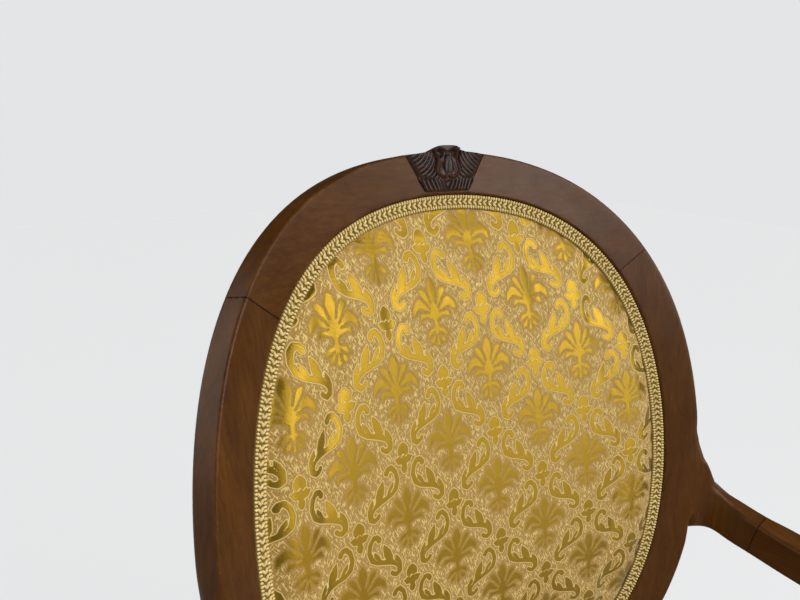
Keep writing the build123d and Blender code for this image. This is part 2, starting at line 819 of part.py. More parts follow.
def twine(points):
    path = FilletPolyline(*points, radius=8 * twine_radius)
    section = Plane(points[0], z_dir=Vector(*points[1]) - Vector(*points[0])) * Circle(twine_radius)
    return sweep(section, path=path)


def spring_lashing():
    """Twine over each row and column of springs, tacked inside the rails at both ends."""
    cords = []
    inside = soft_gap + twine_radius
    coil = spring_end_radius + 4
    for step in (-1, 0, 1):
        x = step * spring_pitch_x
        first = spring_middle_y - spring_pitch_y - coil
        last = spring_middle_y + spring_pitch_y + coil
        front_y = front_rail_inner_y + inside
        rear_y = rear_rail_inner_y - inside
        over = [(x, first, twine_low), (x, last, twine_low)]
        cords.append(twine([(x, front_y, twine_end)] + over + [(x, rear_y, twine_end)]))
        y = spring_middle_y + step * spring_pitch_y
        side = side_x(y, rail_thickness + inside)
        near = spring_pitch_x + coil
        over = [(-near, y, twine_high), (near, y, twine_high)]
        cords.append(twine([(-side, y, twine_end)] + over + [(side, y, twine_end)]))
    return cords


parts["spring_lashing"] = Compound(spring_lashing())


def dome(levels):
    """Crowned solid through seat outlines, each at its height and moved inwards by its inset."""
    outlines = [(Pos(0, 0, level) * seat_face(inset)).wire() for level, inset in levels]
    return Solid.make_loft(outlines, ruled=True)


cover_inset = rebate_depth - soft_gap - cover_thickness
cover_edge = show_line + soft_gap
crown_steps = 10


def seat_levels(depth):
    """Heights and insets of the seat's crowned surface, depth below the outside of its cover."""
    edge = cover_inset + depth
    shoulder = cover_edge + gimp_width + 2
    levels = [(cover_edge, edge), (shoulder, edge)]
    for step in range(1, crown_steps + 1):
        turn = pi / 2 * step / crown_steps
        level = shoulder + (rail_top + seat_crown - depth - shoulder) * sin(turn) ** 0.8
        inset = edge + seat_crown_run * (1 - cos(turn) ** 0.7) ** 1.5
        levels.append((level, inset))
    return levels


def post_notches():
    """Room round each rear leg where it rises through the corner of the upholstery."""
    x = rear_leg_inner_x - post_notch_gap
    y = rear_leg_front_y - post_notch_gap
    outward = (Align.MIN, Align.MIN, Align.CENTER)
    return both_sides([Pos(x, y, rail_top) * Box(200, 200, 4 * seat_crown, align=outward)])


def notched(shape):
    return shape.cut(*post_notches())


hessian_edge = rail_top + soft_gap
hessian_top = twine_high + twine_radius + soft_gap + hessian_thickness
hessian_rise = hessian_top - hessian_edge


def hessian_dome(lift):
    """Solid under the hessian that is drawn over the springs, raised by lift."""
    start = edge_roll_width + 2
    levels = [(0, start), (0.85, start + 9), (1, start + 20), (1.2, start + 60), (1.35, start + 110)]
    return dome([(hessian_edge + hessian_rise * share + lift, inset) for share, inset in levels])


roll_floor = hessian_edge + hessian_thickness + soft_gap
filling_depth = cover_thickness + wadding_thickness + 2 * soft_gap
tall = 4 * seat_crown
flange_band = seat_face(rebate_depth + 4) - seat_face(edge_roll_width + 6)
flange = column(flange_band, hessian_edge, hessian_edge + hessian_thickness)
drawn = hessian_dome(hessian_thickness) - hessian_dome(0)
drawn = drawn & column(seat_face(edge_roll_width), hessian_edge, hessian_edge + tall)
parts["seat_hessian"] = notched(flange + drawn)

filling = dome(seat_levels(filling_depth))
above_floor = Pos(0, 0, roll_floor) * Box(
    4 * outline_front_x, 4 * outline_front_x, tall, align=(Align.CENTER, Align.CENTER, Align.MIN)
)
roll_band = column(seat_face(0) - seat_face(edge_roll_width), roll_floor, roll_floor + edge_roll_height)
parts["seat_edge_roll"] = notched(filling & roll_band)
behind_rail = Pos(0, front_rail_inner_y + 2 * soft_gap, 0) * Box(
    4 * outline_front_x, 4 * outline_front_x, 4 * rail_top, align=(Align.CENTER, Align.MIN, Align.CENTER)
)
core = column(seat_face(edge_roll_width + 2), roll_floor, roll_floor + tall) & behind_rail
parts["seat_stuffing"] = notched(filling & core) - hessian_dome(hessian_thickness + soft_gap)
wadding = dome(seat_levels(cover_thickness + soft_gap)) - dome(seat_levels(filling_depth - soft_gap))
parts["seat_wadding"] = notched(wadding & above_floor)
cover = dome(seat_levels(0)) - dome(seat_levels(cover_thickness))
parts["seat_cover"] = notched(cover)
gimp_outer = cover_inset - fit_gap - gimp_thickness
gimp_band = seat_face(gimp_outer) - seat_face(cover_inset - fit_gap)
parts["seat_gimp"] = notched(column(gimp_band, cover_edge, cover_edge + gimp_width))


# Dust cover and the tacks that hold it under the rails

dust_top = web_lower - web_thickness / 2 - soft_gap
dust_bottom = dust_top - dust_cover_thickness


def dust_cover():
    sheet = column(seat_face(dust_cover_inset), dust_bottom, dust_top)
    room = front_leg_size + 4
    legs = [
        Pos(front_leg_x, front_leg_y, dust_top) * Box(room, room, tall),
        Pos(rear_leg_x, rear_leg_y, dust_top) * Box(rear_leg_width + 8, rear_leg_depth + 16, tall),
    ]
    return sheet.cut(*both_sides(legs))


def tack(x, y):
    seat = dust_bottom - fit_gap
    head = Pos(x, y, seat - tack_head_height / 2) * Cylinder(tack_head_radius, tack_head_height)
    shank = Pos(x, y, seat + tack_length / 2) * Cylinder(tack_shank_radius, tack_length)
    return head + shank


def dust_tacks():
    """Tacks along the middle of each rail, between the straps."""
    half = rail_thickness * 0.45
    spots = [(x, bow_y(x, half)) for x in (0, 2 * seat_web_pitch_x)]
    spots += [(x, rear_rail_inner_y + half) for x in (0, seat_web_pitch_x)]
    gaps = [(web_rows[index] + web_rows[index + 1]) / 2 for index in range(len(web_rows) - 1)]
    spots += [(side_x(y, half), y) for y in gaps]
    places = set(spots + [(-x, y) for x, y in spots])
    return [tack(x, y) for x, y in sorted(places)]


tacks = dust_tacks()
parts["dust_cover"] = dust_cover().cut(*tacks)
parts["dust_cover_tacks"] = Compound(tacks)
for name in ["front_seat_rail", "rear_seat_rail", "left_seat_rail", "right_seat_rail"]:
    parts[name] = parts[name].cut(*tacks)


# Back upholstery, from the webbing forward

pad_inset = surround_width + soft_gap
crown_inset = pad_inset + fit_gap + gimp_width + soft_gap
sheet_inset = pad_inset + outside_cover_thickness / 2
tall_back = 3 * oval_half_height


def back_prism(inset, depth):
    """Straight prism through the back whose outline fits the oval, moved inwards by inset, at a depth."""
    count = 28
    ring = []
    for index in range(count):
        along, upward = oval(2 * pi * index / count, inset)
        turned = (back_curve_radius + depth) * sin(along / back_curve_radius)
        ring.append((turned, -oval_half_width, upward))
    face = make_face(Spline(*ring, periodic=True))
    return extrude(face, 2 * oval_half_width, dir=(0, 1, 0))


def back_shell(front, rear):
    """Curved sheet that follows the back between two depths."""
    outer = Cylinder(back_curve_radius + rear, tall_back)
    inner = Cylinder(back_curve_radius + front, tall_back)
    return Pos(0, -back_curve_radius, 0) * (outer - inner)


def pad_share(along, upward):
    """Distance from the middle of the pad, as a share of the way to its edge in that direction."""
    aim = atan2(upward, along)
    angle = aim
    for _ in range(6):
        edge = oval(angle, crown_inset)
        angle += aim - atan2(edge[1], edge[0])
    return hypot(along, upward) / hypot(*oval(angle, crown_inset))


def crown_surface(depth):
    """Crowned face of the back pad, starting depth behind the front of the surround."""
    half_x = oval_half_width - crown_inset
    half_z = oval_half_height - crown_inset
    reach = 1.12
    steps = 24

    def pad_point(row, place):
        along = half_x * reach * (2 * place / steps - 1)
        upward = half_z * reach * (2 * row / steps - 1)
        share = pad_share(along, upward)
        swell = (1 - share**2) * (1 + 0.5 * share**2)
        turn = along / back_curve_radius
        x = back_curve_radius * sin(turn)
        y = back_curve_radius * (cos(turn) - 1) + depth - back_crown * swell
        return Vector(x, y, upward)

    grid = [[pad_point(row, place) for place in range(steps + 1)] for row in range(steps + 1)]
    return Face.make_surface_from_array_of_points(grid)


upright_web_rear = front_ledge_depth - fit_gap
upright_web_front = upright_web_rear - back_web_thickness
cross_web_rear = upright_web_front - fit_gap
cross_web_front = cross_web_rear - back_web_thickness
back_hessian_rear = cross_web_front - fit_gap
back_hessian_front = back_hessian_rear - hessian_thickness
cover_rear = back_hessian_front - fit_gap
cover_front = cover_rear - back_cover_thickness
gimp_rear = cover_front - bend_gap
gimp_front = gimp_rear - gimp_thickness
outside_front = surround_thickness - rear_ledge_depth + bend_gap
outside_rear = outside_front + outside_cover_thickness


def back_webbing():
    """Upright and crossing straps whose square ends lie on the ledge."""
    straps = []
    reach = surround_width + ledge_width * 0.3
    for step in (-1, 0, 1):
        shift = step * back_web_pitch
        edge = abs(shift) + back_web_width / 2
        upright_half = (oval_half_height - reach) * sqrt(1 - (edge / (oval_half_width - reach)) ** 2)
        crossing_turn = (oval_half_width - reach) * sqrt(1 - (edge / (oval_half_height - reach)) ** 2)
        crossing_half = back_curve_radius * sin(crossing_turn / back_curve_radius)
        upright = Pos(shift, 0, 0) * Box(back_web_width, 2 * oval_half_width, 2 * upright_half)
        crossing = Pos(0, 0, shift) * Box(2 * crossing_half, 2 * oval_half_width, back_web_width)
        straps.append(back_shell(upright_web_front, upright_web_rear) & upright)
        straps.append(back_shell(cross_web_front, cross_web_rear) & crossing)
    return straps


def on_frame(shape):
    return back_plane * shape


parts["back_webbing"] = on_frame(Compound([strap.solid() for strap in back_webbing()]))
hessian_prism = back_prism(sheet_inset, back_hessian_front)
parts["back_hessian"] = on_frame(back_shell(back_hessian_front, back_hessian_rear) & hessian_prism)


def back_cover():
    """Crowned cover, up to the inner edge of the braid that hides its tacked border."""
    crown = extrude(crown_surface(cover_front), back_cover_thickness, dir=(0, 1, 0))
    return crown & back_prism(crown_inset, cover_front)


def back_stuffing():
    lap = 2 * gimp_thickness
    filling = extrude(crown_surface(cover_rear + soft_gap), tall_back, dir=(0, 1, 0))
    room = Cylinder(back_curve_radius + back_hessian_front - fit_gap, tall_back)
    return filling & back_prism(crown_inset + lap, cover_front) & Pos(0, -back_curve_radius, 0) * room


parts["back_cover"] = on_frame(back_cover())
parts["back_stuffing"] = on_frame(back_stuffing())
outside_prism = back_prism(sheet_inset, outside_front)
parts["outside_back_cover"] = on_frame(back_shell(outside_front, outside_rear) & outside_prism)


def gimp_ring(front, rear):
    """Braid laid round the edge of the pad, butted at the bottom of the oval."""
    start = pad_inset + fit_gap
    corners = [(start, front), (start + gimp_width, front), (start + gimp_width, rear), (start, rear)]
    half_gap = degrees(gimp_joint_gap / 2 / (oval_half_width - pad_inset))
    return ring_bar(polygon(corners), half_gap - 90, 270 - half_gap, 41)


parts["back_gimp"] = gimp_ring(gimp_front, gimp_rear)
parts["outside_back_gimp"] = gimp_ring(outside_rear + fit_gap, outside_rear + fit_gap + gimp_thickness)

os.makedirs("parts", exist_ok=True)
for name, shape in parts.items():
    export_step(shape, f"parts/{name}.step")
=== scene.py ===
import json
from math import cos, pi, radians, sin

import bpy
import numpy as np
from mathutils import Matrix, Vector

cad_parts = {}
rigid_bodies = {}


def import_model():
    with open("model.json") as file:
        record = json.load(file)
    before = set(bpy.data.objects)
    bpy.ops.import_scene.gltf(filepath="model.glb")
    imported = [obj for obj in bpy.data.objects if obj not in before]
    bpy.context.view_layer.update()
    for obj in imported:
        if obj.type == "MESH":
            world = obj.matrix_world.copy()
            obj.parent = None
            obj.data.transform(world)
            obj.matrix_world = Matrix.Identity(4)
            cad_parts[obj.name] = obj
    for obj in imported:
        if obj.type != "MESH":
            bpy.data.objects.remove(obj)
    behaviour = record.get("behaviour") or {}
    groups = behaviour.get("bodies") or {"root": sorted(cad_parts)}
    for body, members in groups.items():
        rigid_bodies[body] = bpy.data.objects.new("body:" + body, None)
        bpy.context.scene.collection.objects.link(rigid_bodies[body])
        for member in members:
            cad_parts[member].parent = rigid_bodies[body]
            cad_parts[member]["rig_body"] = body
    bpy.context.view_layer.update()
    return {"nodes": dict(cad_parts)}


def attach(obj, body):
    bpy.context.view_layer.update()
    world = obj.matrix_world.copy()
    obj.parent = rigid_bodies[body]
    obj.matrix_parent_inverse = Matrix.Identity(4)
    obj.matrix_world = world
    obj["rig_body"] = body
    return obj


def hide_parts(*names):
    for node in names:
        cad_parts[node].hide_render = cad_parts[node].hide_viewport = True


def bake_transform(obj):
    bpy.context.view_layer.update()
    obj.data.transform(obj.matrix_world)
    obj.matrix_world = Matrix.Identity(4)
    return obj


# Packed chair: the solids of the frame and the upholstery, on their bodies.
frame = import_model()
bpy.ops.object.select_all(action="DESELECT")


# Show-wood frame: walnut, sawn to shape, dowelled and glued, then stained and French polished.
# The polish gives a soft gloss over fine brown grain. Rubbed arrises have gone paler and more orange.
# The oval back is set out flat, along and up the back, and is then bent and leant into place.
back_radius = 0.523
back_lean = radians(10)
back_centre = (0.236, 0.745)
oval_half_width = 0.250
oval_half_height = 0.272
oval_fullness = 0.041
wood_thickness = 0.024


def oval(angle, inset):
    """Distances along and up the back for points of the oval, moved inwards by inset."""
    swell = 1 + oval_fullness * np.sin(2 * angle) ** 2
    swell_rate = 2 * oval_fullness * np.sin(4 * angle)
    along_rate = oval_half_width * (np.cos(angle) * swell_rate - np.sin(angle) * swell)
    up_rate = oval_half_height * (np.sin(angle) * swell_rate + np.cos(angle) * swell)
    rate = np.hypot(along_rate, up_rate)
    along = oval_half_width * np.cos(angle) * swell - inset * up_rate / rate
    up = oval_half_height * np.sin(angle) * swell + inset * along_rate / rate
    return along, up


def on_back(along, up, out):
    """Points on the curved, leaning back, out towards the sitter from the face of the surround."""
    turn = along / back_radius
    reach = back_radius - out
    deep = reach * np.cos(turn) - back_radius
    y = back_centre[0] + deep * cos(back_lean) + up * sin(back_lean)
    z = back_centre[1] - deep * sin(back_lean) + up * cos(back_lean)
    return np.stack([reach * np.sin(turn), y, z], axis=-1)


def linear(code):
    """Linear colour from an sRGB hex code."""
    parts = [int(code[place:place + 2], 16) / 255 for place in (1, 3, 5)]
    return [*(part / 12.92 if part < 0.0405 else ((part + 0.055) / 1.055) ** 2.4 for part in parts), 1.0]


def add_node(tree, kind, settings, links):
    """Adds a shader node. Settings are its properties or input values, and links feed its inputs."""
    node = tree.nodes.new(kind)
    for key, value in settings.items():
        if isinstance(key, int) or key in node.inputs:
            node.inputs[key].default_value = value
        else:
            setattr(node, key, value)
    for key, socket in links.items():
        tree.links.new(socket, node.inputs[key])
    return node


def start_material(name, settings):
    """New material whose surface shader has the given values. Returns the material, tree and shader."""
    material = bpy.data.materials.new(name)
    material.use_nodes = True
    shader = material.node_tree.nodes["Principled BSDF"]
    for key, value in settings.items():
        shader.inputs[key].default_value = value
    return material, material.node_tree, shader


def colour_ramp(tree, socket, stops):
    """Colours that follow a value, from pairs of place and hex code."""
    ramp = add_node(tree, "ShaderNodeValToRGB", {}, {"Fac": socket})
    elements = ramp.color_ramp.elements
    while len(elements) < len(stops):
        elements.new(0.5)
    for element, (place, code) in zip(elements, stops):
        element.position = place
        element.color = linear(code)
    return ramp.outputs["Color"]


def seam_distance(tree, point, planes):
    """Distance from the nearest of the planes in which the wood is jointed."""
    parts = add_node(tree, "ShaderNodeSeparateXYZ", {}, {0: point})
    side = add_node(tree, "ShaderNodeMath", {"operation": "ABSOLUTE"}, {0: parts.outputs["X"]})
    folded = add_node(
        tree, "ShaderNodeCombineXYZ", {},
        {"X": side.outputs[0], "Y": parts.outputs["Y"], "Z": parts.outputs["Z"]},
    )
    nearest = None
    for spot, normal in planes:
        reach = add_node(
            tree, "ShaderNodeVectorMath", {"operation": "DOT_PRODUCT", 1: normal}, {0: folded.outputs[0]}
        )
        gap = add_node(
            tree, "ShaderNodeMath", {"operation": "SUBTRACT", 1: float(np.dot(spot, normal))},
            {0: reach.outputs["Value"]},
        )
        distance = add_node(tree, "ShaderNodeMath", {"operation": "ABSOLUTE"}, {0: gap.outputs[0]})
        if nearest:
            distance = add_node(
                tree, "ShaderNodeMath", {"operation": "MINIMUM"}, {0: distance.outputs[0], 1: nearest}
            )
        nearest = distance.outputs[0]
    return nearest


def walnut(name, grain_axis, seams):
    """Polished walnut with its grain along one axis. Streaks are about 2.5 mm wide and 90 mm long."""
    material, tree, shader = start_material(
        name, {"IOR": 1.45, "Specular IOR Level": 0.20, "Coat Weight": 0.05, "Coat Roughness": 0.2}
    )
    place = add_node(tree, "ShaderNodeTexCoord", {}, {}).outputs["Object"]

    def grain(across, along, detail):
        scale = [1 / across] * 3
        scale["XYZ".index(grain_axis)] = 1 / along
        spread = add_node(tree, "ShaderNodeMapping", {"Scale": scale}, {"Vector": place})
        return add_node(
            tree, "ShaderNodeTexNoise", {"Scale": 1, "Detail": detail, "Roughness": 0.6, "Distortion": 0.5},
            {"Vector": spread.outputs[0]},
        ).outputs["Fac"]

    streaks = grain(0.0025, 0.09, 5)
    bands = grain(0.022, 0.30, 3)
    pores = grain(0.0009, 0.010, 2)
    mixed = add_node(tree, "ShaderNodeMix", {"Factor": 0.5}, {"A": streaks, "B": bands})
    colour = colour_ramp(
        tree, mixed.outputs["Result"],
        [(0.30, "#3E2004"), (0.45, "#4B2A06"), (0.58, "#563208"), (0.74, "#633C0C")],
    )
    fleck = add_node(
        tree, "ShaderNodeMapRange", {"From Min": 0.36, "From Max": 0.28, "To Min": 0, "To Max": 0.5},
        {"Value": pores},
    )
    colour = add_node(
        tree, "ShaderNodeMix", {"data_type": "RGBA", "B": linear("#2A1405")},
        {"Factor": fleck.outputs["Result"], "A": colour},
    ).outputs[2]
    edge_normal = add_node(tree, "ShaderNodeBevel", {"samples": 6, "Radius": 0.003}, {})
    true_normal = add_node(tree, "ShaderNodeNewGeometry", {}, {}).outputs["Normal"]
    flatness = add_node(
        tree, "ShaderNodeVectorMath", {"operation": "DOT_PRODUCT"},
        {0: edge_normal.outputs[0], 1: true_normal},
    )
    patches = add_node(
        tree, "ShaderNodeTexNoise", {"Scale": 40, "Detail": 4, "Roughness": 0.7}, {"Vector": place}
    )
    edge = add_node(
        tree, "ShaderNodeMapRange", {"From Min": 0.985, "From Max": 0.90},
        {"Value": flatness.outputs["Value"]},
    )
    patchy = add_node(
        tree, "ShaderNodeMapRange", {"From Min": 0.42, "From Max": 0.62}, {"Value": patches.outputs["Fac"]}
    )
    wear = add_node(
        tree, "ShaderNodeMath", {"operation": "MULTIPLY"},
        {0: edge.outputs["Result"], 1: patchy.outputs["Result"]},
    ).outputs[0]
    if seams:
        distance = seam_distance(tree, place, seams)
        clear = add_node(
            tree, "ShaderNodeMapRange", {"From Min": 0.003, "From Max": 0.006}, {"Value": distance}
        )
        line = add_node(
            tree, "ShaderNodeMapRange", {"From Min": 0.0007, "From Max": 0.0003, "To Min": 0, "To Max": 0.8},
            {"Value": distance},
        )
        wear = add_node(
            tree, "ShaderNodeMath", {"operation": "MULTIPLY"}, {0: wear, 1: clear.outputs["Result"]}
        ).outputs[0]
        colour = add_node(
            tree, "ShaderNodeMix", {"data_type": "RGBA", "B": linear("#220E05")},
            {"Factor": line.outputs["Result"], "A": colour},
        ).outputs[2]
    colour = add_node(
        tree, "ShaderNodeMix", {"data_type": "RGBA", "B": linear("#94602A")}, {"Factor": wear, "A": colour}
    ).outputs[2]
    tree.links.new(colour, shader.inputs["Base Color"])
    gloss = add_node(
        tree, "ShaderNodeMapRange", {"From Min": 0.3, "From Max": 0.7, "To Min": 0.26, "To Max": 0.40},
        {"Value": patches.outputs["Fac"]},
    )
    tree.links.new(gloss.outputs["Result"], shader.inputs["Roughness"])
    relief = add_node(
        tree, "ShaderNodeBump", {"Strength": 0.12, "Distance": 0.0004}, {"Height": mixed.outputs["Result"]}
    )
    tree.links.new(relief.outputs[0], shader.inputs["Normal"])
    return material


flare_root = on_back(*oval(np.array(radians(-14)), 0), -wood_thickness / 2)


def ease_flare(piece, source):
    """Rasps the root of the arm flare to a template, which is one smooth hollow down the oval's edge.
    It does so on an even mesh, and the rest of the stile keeps the CAD surface."""
    even = piece.modifiers.new("even", "REMESH")
    even.mode = "VOXEL"
    even.voxel_size = 0.0011
    bpy.ops.object.modifier_apply(modifier="even")
    places = np.empty(len(piece.data.vertices) * 3)
    piece.data.vertices.foreach_get("co", places)
    places = places.reshape(-1, 3)
    side = np.sign(places[:, :1]) * [1, 0, 0] + [0, 1, 1]
    rear = places[:, 1] - back_centre[0]
    rise = places[:, 2] - back_centre[1]
    deep = rear * cos(back_lean) - rise * sin(back_lean) + back_radius
    up = rear * sin(back_lean) + rise * cos(back_lean)
    along = np.arctan2(np.abs(places[:, 0]), deep) * back_radius
    out = back_radius - np.hypot(places[:, 0], deep)
    hollow = np.interp(up, [-0.062, -0.054, -0.036, -0.017, 0.010], [0.2690, 0.2648, 0.2570, 0.2516, 0.2496])
    near = np.interp(up, [-0.050, -0.020, 0.0], [0.004, 0.002, 0.0])
    outer = (up > -0.062) & (up < 0.010) & (along > hollow - near)
    along = np.where(outer, hollow, along)
    proud = (up > -0.064) & (up < -0.018) & (along < 0.272)
    out = np.where(proud, np.minimum(out, 0.0003), out)
    sunk = (up > -0.106) & (up < -0.062) & (along > 0.240) & (along < 0.266) & (out > -0.012)
    out = np.where(sunk, np.maximum(out, np.interp(up, [-0.106, -0.080], [-0.008, 0.0])), out)
    shaped = outer | proud | sunk
    places[shaped] = (on_back(along, up, out) * side)[shaped]
    piece.data.vertices.foreach_set("co", places.ravel())
    gap = np.linalg.norm((places * side - flare_root - [0.010, -0.004, 0.010]) * [1, 1, 0.62], axis=1)
    weights = np.clip((0.047 - gap) / 0.013, 0, 1)
    root = piece.vertex_groups.new(name="flare_root")
    for index in np.flatnonzero(weights):
        root.add([int(index)], float(weights[index]), "REPLACE")
    rasp = piece.modifiers.new("rasp", "SMOOTH")
    rasp.factor = 0.5
    rasp.iterations = 110
    rasp.vertex_group = "flare_root"
    bpy.ops.object.modifier_apply(modifier="rasp")
    rest = piece.modifiers.new("rest", "SHRINKWRAP")
    rest.target = source
    rest.vertex_group = "flare_root"
    rest.invert_vertex_group = True
    bpy.ops.object.modifier_apply(modifier="rest")
    piece.vertex_groups.clear()
    piece.modifiers.new("thin", "DECIMATE").ratio = 0.4
    bpy.ops.object.modifier_apply(modifier="thin")


def finish_copy(node, material, sinking=None, press=None):
    """Welded, smooth-shaded copy of a CAD node in its own finish. It stands for the node on its body.
    A soft piece of the seat is given two heights, which are not used: such a piece is left off its body, with
    its place fixed in its points.
    Press is a function that shapes the copy before it is fixed."""
    source = frame["nodes"][node]
    piece = bpy.data.objects.new(node + "_finished", source.data.copy())
    bpy.context.collection.objects.link(piece)
    bpy.ops.object.select_all(action="DESELECT")
    piece.select_set(True)
    bpy.context.view_layer.objects.active = piece
    bpy.ops.object.mode_set(mode="EDIT")
    bpy.ops.mesh.select_all(action="SELECT")
    bpy.ops.mesh.remove_doubles(threshold=0.00001)
    bpy.ops.mesh.customdata_custom_splitnormals_clear()
    bpy.ops.object.mode_set(mode="OBJECT")
    if press:
        press(piece)
    if node.endswith("back_stile"):
        ease_flare(piece, source)
    bpy.ops.object.shade_smooth_by_angle(angle=radians(32))
    piece.modifiers.new("even_shading", "WEIGHTED_NORMAL").keep_sharp = True
    bpy.ops.object.modifier_apply(modifier="even_shading")
    piece.data.materials.clear()
    piece.data.materials.append(material)
    if sinking:
        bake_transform(piece)
    else:
        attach(piece, source["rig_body"])
    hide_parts(node)


seam_planes = []
for seam_angle in (38.6, -70):
    turn = np.array(radians(seam_angle))
    spot = on_back(*oval(turn, 0), 0)
    tangent = on_back(*oval(turn + 0.01, 0), 0) - on_back(*oval(turn - 0.01, 0), 0)
    seam_planes.append((spot, tangent / np.linalg.norm(tangent)))
arm_joint = flare_root + np.array([0.0392, -0.0525, -0.0360])
arm_heading = np.array([0.0100, -0.0444, -0.0105])
seam_planes.append((arm_joint, arm_heading / np.linalg.norm(arm_heading)))
block_foot, block_head = on_back(np.array([0.022, 0.040]), np.array([0.2392, 0.2685]), 0)
block_edge = np.cross(block_head - block_foot, [0, cos(back_lean), -sin(back_lean)])
seam_planes.append((block_foot, block_edge / np.linalg.norm(block_edge)))

across_ring = walnut("walnut_polished_across", "X", seam_planes)
up_ring = walnut("walnut_polished_upright", "Z", seam_planes)
along_arm = walnut("walnut_polished_arm", "Y", seam_planes)
across_rail = walnut("walnut_polished_rail", "X", [])
up_leg = walnut("walnut_polished_leg", "Z", [])
along_rail = walnut("walnut_polished_side", "Y", [])
show_wood = {
    "crest_rail": across_ring, "lower_back_rail": across_ring,
    "left_back_stile": up_ring, "right_back_stile": up_ring,
    "left_arm": along_arm, "right_arm": along_arm,
    "front_seat_rail": across_rail, "rear_seat_rail": across_rail,
    "left_seat_rail": along_rail, "right_seat_rail": along_rail,
    "left_front_leg": up_leg, "right_front_leg": up_leg,
    "left_rear_leg": up_leg, "right_rear_leg": up_leg,
    "left_arm_post": up_leg, "right_arm_post": up_leg,
}
for node, material in show_wood.items():
    finish_copy(node, material)


# Corner blocks and dowels: bare beech, sawn square or turned, glued inside the frame.
# Beech is pale and close-grained, with short darker flecks.
beech, tree, shader = start_material("beech_bare", {"IOR": 1.5, "Roughness": 0.62})
place = add_node(tree, "ShaderNodeTexCoord", {}, {}).outputs["Object"]
spread = add_node(tree, "ShaderNodeMapping", {"Scale": (40, 400, 400)}, {"Vector": place})
grain = add_node(tree, "ShaderNodeTexNoise", {"Scale": 1, "Detail": 4}, {"Vector": spread.outputs[0]})
shade = colour_ramp(tree, grain.outputs["Fac"], [(0.35, "#A98255"), (0.65, "#CDAA7B")])
tree.links.new(shade, shader.inputs["Base Color"])
relief = add_node(
    tree, "ShaderNodeBump", {"Strength": 0.2, "Distance": 0.0003}, {"Height": grain.outputs["Fac"]}
)
tree.links.new(relief.outputs[0], shader.inputs["Normal"])
for node in (
    "left_front_corner_block", "right_front_corner_block",
    "left_rear_corner_block", "right_rear_corner_block",
    "ring_dowels", "rear_leg_dowels", "arm_dowels", "seat_rail_dowels",
):
    finish_copy(node, beech)


# Screws, glides and tacks: mild steel, turned or stamped, driven into the frame.
# Plain steel is mid grey with fine scratches and a brown bloom.
steel, tree, shader = start_material("mild_steel", {"Metallic": 0.9})
place = add_node(tree, "ShaderNodeTexCoord", {}, {}).outputs["Object"]
bloom = add_node(tree, "ShaderNodeTexNoise", {"Scale": 180, "Detail": 5}, {"Vector": place})
shade = colour_ramp(tree, bloom.outputs["Fac"], [(0.4, "#8A8782"), (0.7, "#5D5148")])
tree.links.new(shade, shader.inputs["Base Color"])
rough = add_node(
    tree, "ShaderNodeMapRange", {"From Min": 0.3, "From Max": 0.7, "To Min": 0.28, "To Max": 0.55},
    {"Value": bloom.outputs["Fac"]},
)
tree.links.new(rough.outputs["Result"], shader.inputs["Roughness"])
for node in ("corner_block_screws", "arm_post_screws", "foot_glides", "dust_cover_tacks"):
    finish_copy(node, steel)


# Crest carving: a rose bud between two feathered leaves, cut in a dark walnut block let into the rail.
# The carver leaves rounded ribs and deep hollows, which hold stain and look almost black.
carved, tree, shader = start_material(
    "walnut_carved_dark", {"IOR": 1.45, "Roughness": 0.36, "Specular IOR Level": 0.4}
)
place = add_node(tree, "ShaderNodeTexCoord", {}, {}).outputs["Object"]
spread = add_node(tree, "ShaderNodeMapping", {"Scale": (90, 300, 300)}, {"Vector": place})
grain = add_node(tree, "ShaderNodeTexNoise", {"Scale": 1, "Detail": 4}, {"Vector": spread.outputs[0]})
shade = colour_ramp(tree, grain.outputs["Fac"], [(0.3, "#1C0E07"), (0.7, "#3D2213")])
ridge = add_node(tree, "ShaderNodeAttribute", {"attribute_name": "ridge"}, {})
shade = add_node(
    tree, "ShaderNodeMix", {"data_type": "RGBA", "B": linear("#5A3320")},
    {"Factor": ridge.outputs["Fac"], "A": shade},
).outputs[2]
tree.links.new(shade, shader.inputs["Base Color"])
relief = add_node(
    tree, "ShaderNodeBump", {"Strength": 0.2, "Distance": 0.0004}, {"Height": grain.outputs["Fac"]}
)
tree.links.new(relief.outputs[0], shader.inputs["Normal"])

carving_columns = 140
carving_rows = 96
carving_cap_rows = 6
carving_bottom = 239.2
carving_shoulder = 268.5
bpy.ops.mesh.primitive_grid_add(
    x_subdivisions=carving_columns - 1, y_subdivisions=carving_rows + carving_cap_rows - 1, size=2
)
carving = bpy.context.object
carving.name = "crest_carving_cut"


